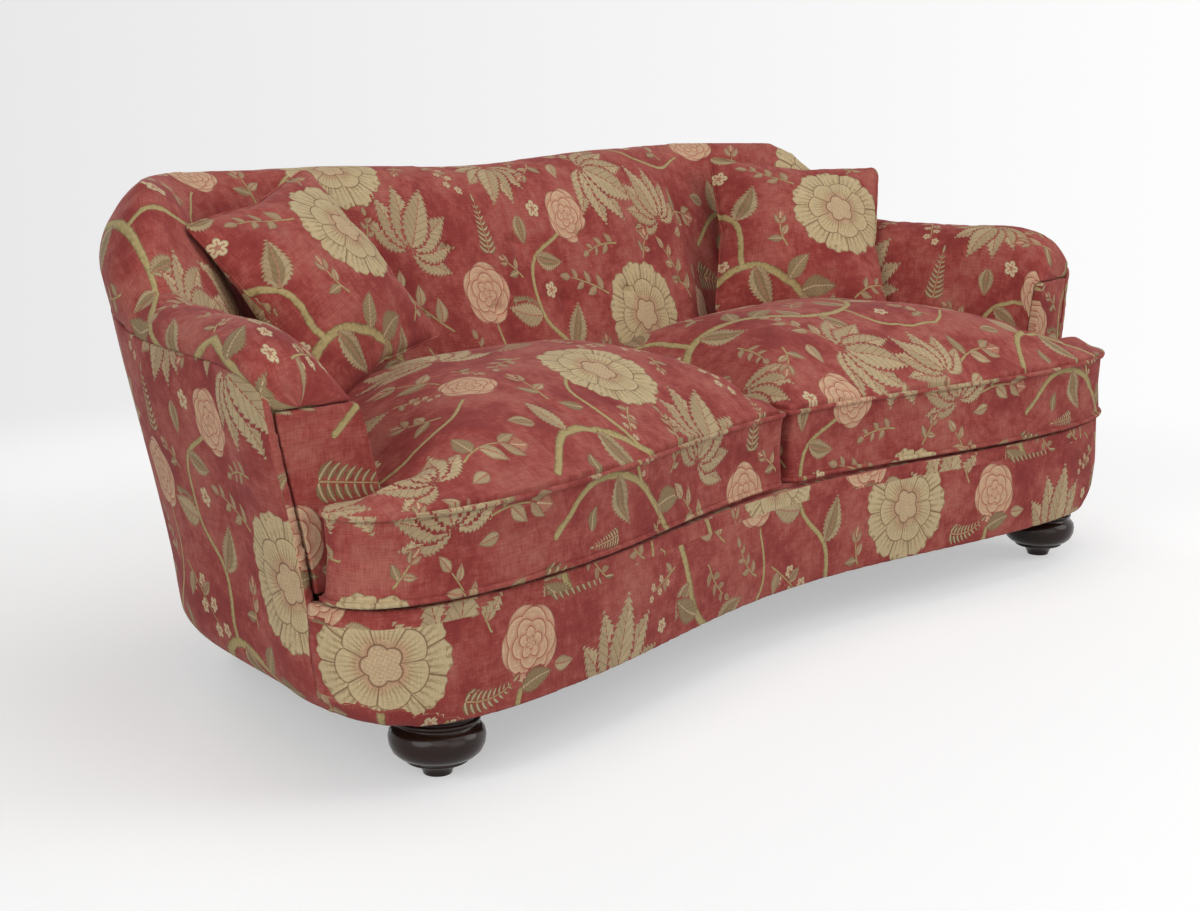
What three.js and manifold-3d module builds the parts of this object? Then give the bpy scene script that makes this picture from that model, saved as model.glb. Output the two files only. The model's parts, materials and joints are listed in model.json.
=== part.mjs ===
import * as THREE from 'three';
import { mergeVertices } from 'three/addons/utils/BufferGeometryUtils.js';
import Module from 'manifold-3d';

const wasm = await Module();
wasm.setup();

// A two-seat sofa with a kidney-shaped plan: the front is hollow, the arms flare, and one line of
// upholstery runs from arm to arm over the back. Millimetres, X along the sofa, Y towards the back,
// Z up. While it is built, Y is zero at the middle of the seat cushions' front edge.

// Fits and shared values
const gap = 0.3;
const looseGap = 2.4;
const overrun = 20;
const clearOfFabric = 5;

// Heights
const baseBottom = 106;
const borderTop = 290;
const deckTop = 296;
const seatHeight = 450;
const cushionBottomWelt = 301;
const cushionTopWelt = 427;
const cushionCrown = 122;

// Plan of the base: its bottom edge, seen from above
const baseHalfWidth = 1026;
const baseFrontProud = 16;
const baseSweepDepth = 90;
const sweepEndInset = 216;
const sweepHalf = baseHalfWidth - sweepEndInset;
const cornerBackY = 10;
const armFrontY = 55;
const tubDepth = 775;
const tubLineShares = [
  [0, 0.96], [0.244, 0.962], [0.439, 0.988], [0.565, 1], [0.682, 0.951], [0.78, 0.837],
  [0.846, 0.704], [0.882, 0.575], [0.909, 0.458], [0.936, 0.32], [0.963, 0.18], [0.987, 0.084], [0.996, 0],
];
const cornerFullness = 2.3;

// Cross-sections of the wall that makes arms and back. "Out" is measured outwards from the bottom
// edge of the base, "Height" from the floor.
const backWall = {
  underOut: 18, seamOut: 58, seamHeight: 752, bulgeOut: 76, bulgeHeight: 800, topOut: 22, topHeight: 862,
  lipOut: -72, lipHeight: 806, seatOut: -203, deckOut: -222, notchIn: -18, notchOut: 30, notchTop: 798,
  padThickness: 90, flareEase: 0,
};
const cornerWall = {
  underOut: 26, seamOut: 118, seamHeight: 650, bulgeOut: 129, bulgeHeight: 742, topOut: 58, topHeight: 856,
  lipOut: -12, lipHeight: 798, seatOut: -150, deckOut: -168, notchIn: 16, notchOut: 62, notchTop: 786,
  padThickness: 80, flareEase: 0,
};
const armWall = {
  underOut: 58, seamOut: 125, seamHeight: 625, bulgeOut: 128, bulgeHeight: 645, topOut: 76, topHeight: 686,
  lipOut: -2, lipHeight: 642, seatOut: -72, deckOut: -86, notchIn: 20, notchOut: 66, notchTop: 624,
  padThickness: 42, flareEase: 1,
};
const crestDip = 14;
const underHeight = 92;
const underCurveShares = [0.12, 0.4];
const frontBorderLean = 6;
const backEndShare = 0.3;
const cornerShare = 0.52;
const cornerEndShare = 0.57;
const armStartShare = 0.73;
const armJointShare = 0.705;
const backStops = 40;
const outsideBackStops = 30;
const armStops = 9;
const crestDipShare = 0.26;
const flarePower = 1.2;

// Upholstery thicknesses
const panelThickness = 14;
const frontPanelThickness = 18;
const borderThickness = 18;
const armBoardHeight = 574;
const domeLength = 132;
const domeFullness = 2.4;
const domeLeastShare = 0.12;

// Blind tufts of the inside back
const tuftPitch = 190;
const tuftHeights = [692, 572];
const tuftDepth = 11;
const tuftRadius = 52;
const tuftReach = 4;

// Timber frame
const railThickness = 28;
const railInset = 22;
const railBottom = 112;
const railTop = 256;
const crossRailThickness = 24;
const crossRailDepth = 96;
const crossRailX = 260;
const crestDepth = 62;
const uprightWidth = 44;
const uprightShares = [0.12, 0.29];
const armPostShare = 0.93;
const kneeDrop = 2;
const armBoardThickness = 24;
const armBoardInner = -16;
const armBoardClear = 5;
const blockReach = 205;
const blockHeight = 90;
const frontBlockEndShares = [0.72, 0.96];
const backBlockEndShares = [0.42, 0.63];
const blockStops = 6;

// Springs
const springWire = 4;
const springCount = 6;
const springPitchShare = 0.23;
const springPitch = baseHalfWidth * springPitchShare;
const springWave = 32;
const springHalfWidth = 24;

// Turned bun feet
const frontFootInset = 126;
const frontFootX = baseHalfWidth - frontFootInset;
const frontFootY = -13;
const backFootInset = 346;
const backFootX = baseHalfWidth - backFootInset;
const backFootForward = 85;
const backFootY = tubDepth - backFootForward;
const bunRadius = 74.5;
const bunHeight = 62;
const footSoleRadius = 22.5;
const footNeckRadius = 31;
const footNeckHeight = 20;
const footRingRadius = 49;
const footRingTop = 27;
const bunTopHeight = 81;
const footStudRadius = 5;
const footStudLength = 40;
const holeCurveSegments = 5;

// Seat cushions
const cushionSweepDepth = 112;
const cushionProud = 62;
const cushionHalfWidth = baseHalfWidth + cushionProud;
const cushionEndY = 6;
const earBackRadius = 40;
const cushionDrawIn = 5;
const cushionSoleInset = 10;
const cushionFrontEndShare = 0.99;
const leastStitch = 25;
const crownReach = 380;
const crownPower = 4;
const crownPeakInset = 676;
const crownPeakX = baseHalfWidth - crownPeakInset;
const crownFallShare = 1;
const dentReach = 40;
const dentSlope = 0.8;
const dentClearance = 0.3;
const cushionColumns = 24;
const cushionRows = 14;
const weltRadius = 4.2;
const weltReach = weltRadius * 2 + gap;
const cushionMeet = weltReach * 2 + gap * 2;

// Scatter pillows: the place of the middle, from the end of the base, the back of the tub and the seat
// welt, then the turn, lean and roll of the face in degrees
const pillowSide = 392;
const pillowThickness = 124;
const pillowDrawIn = 16;
const pillowFullness = 0.52;
const pillowWeltRadius = 2.6;
const pillowCells = 12;
const pillowRimSteps = 8;
const leftPillow = { fromEnd: 423.7, fromBack: 201, overSeat: 244.5, turn: 9, lean: 37.5, roll: -14 };
const rightPillow = { fromEnd: 275.6, fromBack: 245.7, overSeat: 225.4, turn: -38, lean: 33, roll: 5 };

// Dust cover under the frame
const dustCoverThickness = 2;
const dustFrontStops = 20;
const dustBackStops = 26;

const fabricRed = '#a63b3c';
const fabricDeep = '#8f3033';
const weltRed = '#9a3537';
const timberColour = '#c9a878';
const espresso = '#241a18';
const springSteel = '#5f6468';
const dustBlack = '#2b2a2a';

const sofa = new THREE.Group();
const mix = THREE.MathUtils.lerp;
const half = 0.5;
const ramp = (from, to, value) => THREE.MathUtils.smoothstep(value, from, to);

function material(colour, roughness, metalness = 0) {
  return new THREE.MeshStandardMaterial({ color: colour, roughness, metalness });
}

function piece(name, geometry, look) {
  const mesh = new THREE.Mesh(geometry, look);
  mesh.name = name;
  sofa.add(mesh);
  return mesh;
}

// Both hands of a piece: side is -1 on the left and 1 on the right
function pair(make) {
  make('left', -1);
  make('right', 1);
}

// Geometry tools

function positionsOnly(geometry) {
  const bare = geometry.clone();
  bare.deleteAttribute('normal');
  bare.deleteAttribute('uv');
  return mergeVertices(bare);
}

function signedVolume(geometry) {
  const spots = geometry.attributes.position;
  const index = geometry.index;
  const a = new THREE.Vector3();
  const b = new THREE.Vector3();
  const c = new THREE.Vector3();
  let total = 0;
  for (let k = 0; k < index.count; k += 3) {
    a.fromBufferAttribute(spots, index.getX(k));
    b.fromBufferAttribute(spots, index.getX(k + 1));
    c.fromBufferAttribute(spots, index.getX(k + 2));
    total += a.dot(b.cross(c));
  }
  return total;
}

// A closed body from vertices and triangles, turned so that its faces point outwards
function bodyFrom(vertices, triangles) {
  const geometry = new THREE.BufferGeometry();
  const spots = vertices.flatMap((v) => [v.x, v.y, v.z]);
  geometry.setAttribute('position', new THREE.Float32BufferAttribute(spots, 3));
  geometry.setIndex(triangles);
  if (signedVolume(geometry) < 0) {
    const flipped = [];
    for (let k = 0; k < triangles.length; k += 3) {
      flipped.push(triangles[k], triangles[k + 2], triangles[k + 1]);
    }
    geometry.setIndex(flipped);
  }
  geometry.computeVertexNormals();
  return geometry;
}

function pushQuad(triangles, [a, b, c, d]) {
  triangles.push(a, b, c, a, c, d);
}

// A loft through rings of equal length. Each ring is a list of points; flat holds the same outlines
// as plane points for the two end caps.
function loft(rings, flat) {
  const count = rings[0].length;
  const vertices = rings.flat();
  const triangles = [];
  for (let r = 0; r + 1 < rings.length; r++) {
    for (let k = 0; k < count; k++) {
      const a = r * count + k;
      const b = r * count + ((k + 1) % count);
      triangles.push(a, b, b + count, a, b + count, a + count);
    }
  }
  const caps = [[flat[0], 0], [flat[flat.length - 1], (rings.length - 1) * count]];
  for (const [outline, first] of caps) {
    for (const [a, b, c] of THREE.ShapeUtils.triangulateShape(outline, [])) {
      triangles.push(first + a, first + b, first + c);
    }
  }
  return bodyFrom(vertices, consistent(triangles));
}

// Turns neighbouring triangles the same way round
function consistent(triangles) {
  const faces = [];
  const edges = new Map();
  for (let k = 0; k < triangles.length; k += 3) {
    const face = [triangles[k], triangles[k + 1], triangles[k + 2]];
    faces.push(face);
    for (let e = 0; e < 3; e++) {
      const a = face[e];
      const b = face[(e + 1) % 3];
      const key = a < b ? `${a} ${b}` : `${b} ${a}`;
      if (!edges.has(key)) {
        edges.set(key, []);
      }
      edges.get(key).push(faces.length - 1);
    }
  }
  const seen = new Array(faces.length).fill(false);
  const queue = [0];
  seen[0] = true;
  while (queue.length) {
    const current = queue.pop();
    for (let e = 0; e < 3; e++) {
      const a = faces[current][e];
      const b = faces[current][(e + 1) % 3];
      for (const other of edges.get(a < b ? `${a} ${b}` : `${b} ${a}`)) {
        if (seen[other]) {
          continue;
        }
        const face = faces[other];
        const at = face.indexOf(a);
        if (face[(at + 1) % 3] === b) {
          face.reverse();
        }
        seen[other] = true;
        queue.push(other);
      }
    }
  }
  return faces.flat();
}

function solidFrom(geometry) {
  const bare = positionsOnly(geometry);
  return new wasm.Manifold(new wasm.Mesh({
    numProp: 3,
    vertProperties: new Float32Array(bare.attributes.position.array),
    triVerts: new Uint32Array(bare.index.array),
  }));
}

function geometryFrom(solid) {
  const mesh = solid.getMesh();
  const geometry = new THREE.BufferGeometry();
  const spots = [];
  for (let k = 0; k < mesh.vertProperties.length; k += mesh.numProp) {
    spots.push(mesh.vertProperties[k], mesh.vertProperties[k + 1], mesh.vertProperties[k + 2]);
  }
  geometry.setAttribute('position', new THREE.Float32BufferAttribute(spots, 3));
  geometry.setIndex(Array.from(mesh.triVerts));
  geometry.computeVertexNormals();
  return geometry;
}

const flatPoint = (x, y) => new THREE.Vector2(x, y);
const liftTo = (point, z) => new THREE.Vector3(point.x, point.y, z);

// A plate of constant thickness over a plan outline, with optional round holes
function plate(outline, bottom, top, holes = []) {
  const shape = new THREE.Shape(THREE.ShapeUtils.isClockWise(outline) ? outline.slice().reverse() : outline);
  for (const hole of holes) {
    shape.holes.push(new THREE.Path().absarc(hole.x, hole.y, hole.radius, 0, Math.PI * 2, true));
  }
  const settings = { depth: top - bottom, curveSegments: holeCurveSegments, bevelEnabled: false };
  const geometry = new THREE.ExtrudeGeometry(shape, settings);
  return geometry.translate(0, 0, bottom);
}

// Plan lines of the base

const tubPoints = tubLineShares.map(([x, y]) => (
  new THREE.Vector3(x * baseHalfWidth, armFrontY + y * tubDepth, 0)));
const mirrored = tubPoints.slice(1).reverse().map((p) => new THREE.Vector3(-p.x, p.y, p.z));
const tubCurve = new THREE.CatmullRomCurve3([...mirrored, ...tubPoints], false, 'centripetal');
tubCurve.arcLengthDivisions = 800;
const tubHalfLength = tubCurve.getLength() * half;

// A place on the tub line: share is 0 at the middle of the back and 1 at the front of an arm
function tubPlace(share, side) {
  const along = THREE.MathUtils.clamp(half + half * share * side, 0, 1);
  const spot = tubCurve.getPointAt(along);
  const heading = tubCurve.getTangentAt(along);
  return { spot: flatPoint(spot.x, spot.y), out: flatPoint(-heading.y, heading.x) };
}

function offsetFrom(place, out) {
  return flatPoint(place.spot.x + place.out.x * out, place.spot.y + place.out.y * out);
}

const sweepAt = (x, depth) => -depth * (1 - Math.cos((Math.PI * Math.min(x, sweepHalf)) / sweepHalf)) * half;

// One half of a swept front: the hollow sweep, then a full rounded corner out to the end
function frontHalf(proud, sweep, endX, endY, sweepSteps, cornerSteps) {
  const points = [];
  for (let k = 0; k <= sweepSteps; k++) {
    const x = (sweepHalf * k) / sweepSteps;
    points.push(flatPoint(x, sweepAt(x, sweep) - proud));
  }
  const peakY = -sweep - proud;
  for (let k = 1; k <= cornerSteps; k++) {
    const turn = (Math.PI * half * k) / cornerSteps;
    const across = Math.pow(Math.sin(turn), 2 / cornerFullness);
    const along = Math.pow(Math.cos(turn), 2 / cornerFullness);
    points.push(flatPoint(mix(sweepHalf, endX, across), mix(endY, peakY, k === cornerSteps ? 0 : along)));
  }
  return points;
}

const baseFrontHalf = frontHalf(baseFrontProud, baseSweepDepth, baseHalfWidth, cornerBackY, 7, 6);
const armFrontPlace = tubPlace(1, 1);
const frontRight = [...baseFrontHalf, armFrontPlace.spot];
const frontLeft = frontRight.slice(1).reverse().map((p) => flatPoint(-p.x, p.y));
const frontCurve = new THREE.CatmullRomCurve3(
  [...frontLeft, ...frontRight].map((p) => liftTo(p, 0)), false, 'centripetal');
frontCurve.arcLengthDivisions = 600;

// A place on the front line: 0 at the middle of the front and 1 at the front of an arm
function frontPlace(share, side) {
  const along = THREE.MathUtils.clamp(half + half * share * side, 0, 1);
  if (Math.abs(share) === 1) {
    return tubPlace(1, Math.sign(share * side));
  }
  const spot = frontCurve.getPointAt(along);
  const heading = frontCurve.getTangentAt(along);
  return { spot: flatPoint(spot.x, spot.y), out: flatPoint(heading.y, -heading.x) };
}

// Cross-sections of the arm and back wall

const wallNames = Object.keys(backWall);

function wallAt(share) {
  const toCorner = ramp(backEndShare, cornerShare, share);
  const toArm = ramp(cornerEndShare, armStartShare, share);
  const wall = {};
  for (const name of wallNames) {
    wall[name] = mix(mix(backWall[name], cornerWall[name], toCorner), armWall[name], toArm);
  }
  const dip = crestDip * (1 - ramp(0, crestDipShare, share));
  for (const name of ['bulgeHeight', 'topHeight', 'lipHeight', 'notchTop']) {
    wall[name] -= dip;
  }
  return wall;
}

// How far the outside face stands out at a height between the base and the seam under the roll
function outsideAt(wall, height) {
  const underTop = baseBottom + underHeight;
  if (height < underTop) {
    const rise = (underTop - height) / underHeight;
    return wall.underOut * Math.sqrt(Math.max(0, 1 - rise * rise));
  }
  const climb = Math.min((height - underTop) / (wall.seamHeight - underTop), 1);
  const eased = mix(climb, ramp(0, 1, Math.pow(climb, flarePower)), wall.flareEase);
  return mix(wall.underOut, wall.seamOut, eased);
}

// The seam under the roll, over the top and down the inside face to the deck
function upperCurve(wall) {
  return new THREE.CatmullRomCurve3([
    new THREE.Vector3(wall.seamOut, wall.seamHeight + gap, 0),
    new THREE.Vector3(wall.bulgeOut, wall.bulgeHeight, 0),
    new THREE.Vector3(wall.topOut, wall.topHeight, 0),
    new THREE.Vector3(wall.lipOut, wall.lipHeight, 0),
    new THREE.Vector3(wall.seatOut, seatHeight, 0),
    new THREE.Vector3(wall.deckOut, deckTop + gap, 0),
  ], false, 'centripetal');
}

const upperFine = 120;

// The inside face's place at a height, between the lip and the deck
function insideAt(wall, height) {
  const fine = upperCurve(wall).getPoints(upperFine).reverse();
  for (let k = 1; k < fine.length; k++) {
    if (fine[k].y >= height) {
      const part = Math.max(0, (height - fine[k - 1].y) / (fine[k].y - fine[k - 1].y));
      return mix(fine[k - 1].x, fine[k].x, part);
    }
  }
  return wall.lipOut;
}

function section(place, outline) {
  return outline.map((p) => liftTo(offsetFrom(place, p.x), p.y));
}

const evenly = (from, to, steps) => Array.from({ length: steps + 1 }, (_, k) => mix(from, to, k / steps));

// Sweeps a cross-section along a plan line through a list of shares
function sweepThrough(placeAt, side, shares, outlineAt) {
  const flat = shares.map((share) => outlineAt(Math.abs(share), share));
  return loft(shares.map((share, k) => section(placeAt(share, side), flat[k])), flat);
}

function tubSweep(side, from, to, steps, outlineAt) {
  return sweepThrough(tubPlace, side, evenly(from, to, steps), outlineAt);
}

function frontSweep(from, to, steps, outlineAt) {
  return sweepThrough(frontPlace, 1, evenly(from, to, steps), outlineAt);
}

const lengthShare = (length) => length / tubHalfLength;

// Stops shared by the pieces that lie against each other round the back and arms
const meetingShare = 1 - lengthShare(gap);
const armJoint = armJointShare + lengthShare(gap);
const backEnd = armJointShare - lengthShare(gap);
const postStart = backEnd - lengthShare(uprightWidth);
const crestEndShare = postStart - lengthShare(gap);
const crestShares = evenly(-crestEndShare, crestEndShare, backStops);
const backShares = [-backEnd, -postStart, ...crestShares, postStart, backEnd];
const outsideBackShare = crestShares[(backStops + outsideBackStops) * half];
const box = (inner, outer, bottom, top) => [
  flatPoint(inner, bottom), flatPoint(outer, bottom), flatPoint(outer, top), flatPoint(inner, top),
];

// Turned feet: a tapered sole, a ring, a squashed bun and stepped rings, with a stud on top

const stepShares = [[0.86, 0], [0.86, 0.2], [0.8, 0.24], [0.8, 0.5], [0.75, 0.54], [0.75, 1]];
const bunSteps = 7;
const bunFlatShare = 0.62;
const footFacets = 18;

function footGeometry() {
  const outline = [flatPoint(0, 0), flatPoint(footSoleRadius, 0), flatPoint(footNeckRadius, footNeckHeight)];
  outline.push(flatPoint(footRingRadius, footNeckHeight + gap), flatPoint(footRingRadius, footRingTop));
  for (let k = 1; k <= bunSteps; k++) {
    const turn = mix(-Math.PI * half, Math.PI * half, k / (bunSteps + 1));
    const rise = turn < 0 ? bunHeight - footRingTop : bunTopHeight - bunHeight;
    const radius = mix(footRingRadius, bunRadius, Math.pow(Math.cos(turn), bunFlatShare));
    outline.push(flatPoint(radius, bunHeight + rise * Math.sin(turn)));
  }
  const footTop = baseBottom - gap;
  for (const [radiusShare, heightShare] of stepShares) {
    outline.push(flatPoint(radiusShare * bunRadius, mix(bunTopHeight, footTop, heightShare)));
  }
  outline.push(flatPoint(footStudRadius, footTop), flatPoint(footStudRadius, footTop + footStudLength));
  outline.push(flatPoint(0, footTop + footStudLength));
  return new THREE.LatheGeometry(outline, footFacets).rotateX(Math.PI * half);
}

const footLook = material(espresso, 0.22);

function foot(name, x, y) {
  piece(name, footGeometry(), footLook).position.set(x, y, 0);
}

const feet = [];
pair((hand, side) => {
  feet.push({ x: side * frontFootX, y: frontFootY }, { x: side * backFootX, y: backFootY });
  foot(`front_${hand}_foot`, side * frontFootX, frontFootY);
  foot(`back_${hand}_foot`, side * backFootX, backFootY);
});

// Timber frame

const timber = material(timberColour, 0.7);
const railOuter = -railInset;
const railInner = -railInset - railThickness;
const frontRailShare = 0.84;
const sideRailShare = 0.98;
const backRailShare = 0.56;
const frontRailStops = 30;
const backRailStops = 28;

const railOutline = () => box(railInner, railOuter, railBottom, railTop);
const frontRailShares = evenly(-frontRailShare, frontRailShare, frontRailStops);
const backRailShares = evenly(-backRailShare, backRailShare, backRailStops);
const sideRailShares = evenly(backRailShare + lengthShare(gap), sideRailShare, armStops);

piece('front_rail', sweepThrough(frontPlace, 1, frontRailShares, railOutline), timber);
piece('back_rail', sweepThrough(tubPlace, 1, backRailShares, railOutline), timber);
pair((hand, side) => {
  piece(`${hand}_side_rail`, sweepThrough(tubPlace, side, sideRailShares, railOutline), timber);
});

const planLine = (placeAt, shares, outAt) => shares.map((share) => (
  offsetFrom(placeAt(share, 1), outAt(Math.abs(share)))));
const backwards = (shares) => [...shares].reverse();
const negated = (shares) => shares.map((share) => -share);
const insideRails = () => railInner - gap;
const roundTheBack = [...backwards(sideRailShares), ...backwards(backRailShares), ...negated(sideRailShares)];
const insideFrame = solidFrom(plate([
  ...planLine(frontPlace, frontRailShares, insideRails),
  ...planLine(tubPlace, roundTheBack, insideRails),
], 0, railTop));

// Blocks glued into the corners of the frame, cut to the rails, where the feet screw in
const frontBlockShares = evenly(...frontBlockEndShares, blockStops);
const backBlockShares = evenly(...backBlockEndShares, blockStops);

function cornerBlock(name, placeAt, side, shares, x, y) {
  const places = shares.map((share) => placeAt(share, side));
  const edge = places.map((place) => offsetFrom(place, railOuter));
  const tip = offsetFrom(places[places.length >> 1], railInner - blockReach);
  const along = edge[edge.length - 1].clone().sub(edge[0]).multiplyScalar(half * half);
  const outline = [...edge, tip.clone().add(along), tip.clone().sub(along)];
  const hole = { x, y, radius: footStudRadius + gap };
  const blank = solidFrom(plate(outline, railBottom, railBottom + blockHeight, [hole]));
  piece(name, geometryFrom(blank.intersect(insideFrame)), timber);
}

pair((hand, side) => {
  const frontX = side * frontFootX;
  const backX = side * backFootX;
  cornerBlock(`front_${hand}_corner_block`, frontPlace, side, frontBlockShares, frontX, frontFootY);
  cornerBlock(`back_${hand}_corner_block`, tubPlace, side, backBlockShares, backX, backFootY);
});

// The two rails that tie the front to the back under the springs, cut to the curved rails
pair((hand, side) => {
  const long = new THREE.BoxGeometry(crossRailThickness, tubDepth + baseHalfWidth, crossRailDepth);
  long.translate(side * crossRailX, armFrontY + tubDepth * half, railBottom + crossRailDepth * half);
  piece(`${hand}_cross_rail`, geometryFrom(solidFrom(long).intersect(insideFrame)), timber);
});

// Posts and uprights lean with the wall from the base rail up to the crest rail
const crestTop = (wall) => wall.notchTop - looseGap;
const crestBottom = (wall) => crestTop(wall) - crestDepth;

function leaningPost(name, side, from, to, knee, top) {
  const walls = [wallAt(from), wallAt(to)];
  const inner = Math.max(...walls.map((wall) => wall.notchIn)) + gap;
  const outer = Math.min(...walls.map((wall) => wall.notchOut)) - gap;
  const outline = [
    flatPoint(railInner, railTop + gap), flatPoint(railOuter, railTop + gap), flatPoint(outer, knee),
    flatPoint(outer, top), flatPoint(inner, top), flatPoint(inner, knee),
  ];
  piece(name, tubSweep(side, from, to, 1, () => outline), timber);
}

piece('crest_rail', sweepThrough(tubPlace, 1, crestShares, (share) => {
  const wall = wallAt(share);
  return box(wall.notchIn + looseGap, wall.notchOut - looseGap, crestBottom(wall), crestTop(wall));
}), timber);
const uprightHalf = lengthShare(uprightWidth * half);
pair((hand, side) => {
  uprightShares.forEach((share, k) => {
    const nearby = crestShares.filter((stop) => Math.abs(stop - share) < uprightWidth / tubHalfLength * 2);
    const lowest = Math.min(...nearby.map((stop) => crestBottom(wallAt(stop)))) - gap;
    const name = `${hand}_${k === 0 ? 'inner' : 'outer'}_upright`;
    leaningPost(name, side, share - uprightHalf, share + uprightHalf, lowest - kneeDrop, lowest);
  });
  const wall = wallAt(backEnd);
  leaningPost(`${hand}_back_post`, side, postStart, backEnd, crestBottom(wall), crestTop(wall));
});

// Arm boards carry the rolls; they butt on the back posts and stand on the arm posts
const armBoardTop = armBoardHeight - gap;
const armBoardBottom = armBoardTop - armBoardThickness;
const insidePanelAt = (wall, height) => outsideAt(wall, height) - panelThickness;
const armPanelBackShare = 1 - lengthShare(frontPanelThickness);
const armPanelEndShare = armPanelBackShare - lengthShare(gap);

pair((hand, side) => {
  piece(`${hand}_arm_board`, tubSweep(side, armJoint, armPanelEndShare, armStops, (share) => {
    const outer = insidePanelAt(wallAt(share), armBoardBottom) - armBoardClear;
    return box(armBoardInner, outer, armBoardBottom, armBoardTop);
  }), timber);
  leaningPost(`${hand}_arm_post`, side, armPostShare - uprightHalf, armPostShare + uprightHalf,
    armBoardBottom - gap - kneeDrop, armBoardBottom - gap);
});

// Zigzag springs run from the front rail to the back rail

const steel = material(springSteel, 0.35, 0.9);
const springLevel = railTop + gap + springWire * half;
const railRest = railThickness * half;

function frontRailYAt(x) {
  return sweepAt(x, baseSweepDepth) - baseFrontProud + railInset + railRest;
}

const backRailLine = planLine(tubPlace, evenly(0, backRailShare, 200), () => -railInset - railRest);

function backRailYAt(x) {
  return backRailLine.reduce((best, spot) => (Math.abs(spot.x - x) < Math.abs(best.x - x) ? spot : best)).y;
}

const stepsPerWave = 2;

function spring(name, x) {
  const start = frontRailYAt(Math.abs(x));
  const end = backRailYAt(Math.abs(x));
  const waves = Math.round((end - start) / springWave);
  const points = [];
  for (let k = 0; k <= waves * stepsPerWave; k++) {
    const swing = Math.sin((k / stepsPerWave) * Math.PI) * springHalfWidth;
    points.push(new THREE.Vector3(x + swing, mix(start, end, k / (waves * stepsPerWave)), springLevel));
  }
  const path = new THREE.CatmullRomCurve3(points, false, 'centripetal');
  const wire = new THREE.Shape();
  wire.absarc(0, 0, springWire * half, 0, Math.PI * 2, false);
  const geometry = new THREE.ExtrudeGeometry(wire, {
    extrudePath: path, steps: waves * stepsPerWave, curveSegments: 2, bevelEnabled: false,
  });
  piece(name, geometry, steel);
}

for (let k = 0; k < springCount; k++) {
  spring(`seat_spring_${k + 1}`, (k - (springCount - 1) * half) * springPitch);
}

// Seat deck over the springs, T-shaped like the cushions that lie on it

const fabric = material(fabricRed, 0.85);
const deepFabric = material(fabricDeep, 0.88);

// The front border: upright in the hollow of the front, rounding under at the corners
const borderCornerShare = 0.8;

function frontBorderOut(share, height) {
  const climb = (height - baseBottom) / (borderTop - baseBottom);
  const upright = frontBorderLean * Math.sin(Math.PI * climb);
  return mix(upright, outsideAt(wallAt(1), height), ramp(borderCornerShare, 1, share));
}

const underHeights = [0, ...underCurveShares].map((part) => baseBottom + underHeight * part);
const borderHeights = [...underHeights, baseBottom + underHeight, borderTop];
const borderBackHeights = [borderTop, baseBottom + underHeight, baseBottom];

const borderStops = 52;
const borderShares = evenly(-1, 1, borderStops);
piece('front_border', sweepThrough(frontPlace, 1, borderShares, (share) => [
  ...borderHeights.map((height) => flatPoint(frontBorderOut(share, height), height)),
  ...borderBackHeights.map((height) => flatPoint(frontBorderOut(share, height) - borderThickness, height)),
]), fabric);

const deckBottom = railTop + springWire + gap * 2;
const deckFrontOut = (share) => Math.min(frontBorderOut(share, borderTop), frontBorderOut(share, deckBottom))
  - borderThickness - gap * 2;
const deckSideOut = (share) => wallAt(share).deckOut - gap * 2;
piece('seat_deck', plate([
  ...planLine(frontPlace, [-meetingShare, ...borderShares.slice(1, -1), meetingShare], deckFrontOut),
  ...planLine(tubPlace, evenly(meetingShare, -meetingShare, backStops), deckSideOut),
], deckBottom, deckTop), deepFabric);

// Dust cover on the underside, with holes round the feet's studs
const dustCoverTop = railBottom - gap;
const dustCoverOut = () => railOuter;
const dustCoverHoles = feet.map((spot) => ({ ...spot, radius: footStudRadius + gap }));
piece('dust_cover', plate([
  ...planLine(frontPlace, evenly(-meetingShare, meetingShare, dustFrontStops), dustCoverOut),
  ...planLine(tubPlace, evenly(armPanelBackShare, -armPanelBackShare, dustBackStops), dustCoverOut),
], dustCoverTop - dustCoverThickness, dustCoverTop, dustCoverHoles), material(dustBlack, 0.95));

// Outside panels below the seam

// The arm's front end is domed, so heights above the arm board fall off over the last stretch
function domeAt(share) {
  const reach = Math.min(((1 - share) * tubHalfLength) / domeLength, 1);
  return Math.max(domeLeastShare, Math.pow(1 - Math.pow(1 - reach, domeFullness), 1 / domeFullness));
}

const seamAt = (share) => armBoardHeight + (wallAt(share).seamHeight - armBoardHeight) * domeAt(share);
const panelTopAt = (share) => seamAt(share) - (share < backEnd ? looseGap : 0);
const domeSteps = 7;
const domeStartShare = 1 - lengthShare(domeLength);
const domeShares = Array.from({ length: domeSteps + 1 }, (_, k) => (
  mix(domeStartShare, meetingShare, Math.sin((Math.PI * half * k) / domeSteps))));
const armShares = [...evenly(armJoint, domeStartShare, 8).slice(0, -1), ...domeShares];
const panelBandShares = [0.25, 0.5, 0.75, 1];

function outsidePanel(share) {
  const wall = wallAt(share);
  const underTop = baseBottom + underHeight;
  const bands = panelBandShares.map((part) => mix(underTop, armBoardHeight, part));
  const heights = [...underHeights, underTop, ...bands, panelTopAt(share)];
  const back = backwards(heights).filter((height) => !underHeights.slice(1).includes(height));
  return [
    ...heights.map((height) => flatPoint(outsideAt(wall, height), height)),
    ...back.map((height) => flatPoint(insidePanelAt(wall, height), height)),
  ];
}

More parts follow.
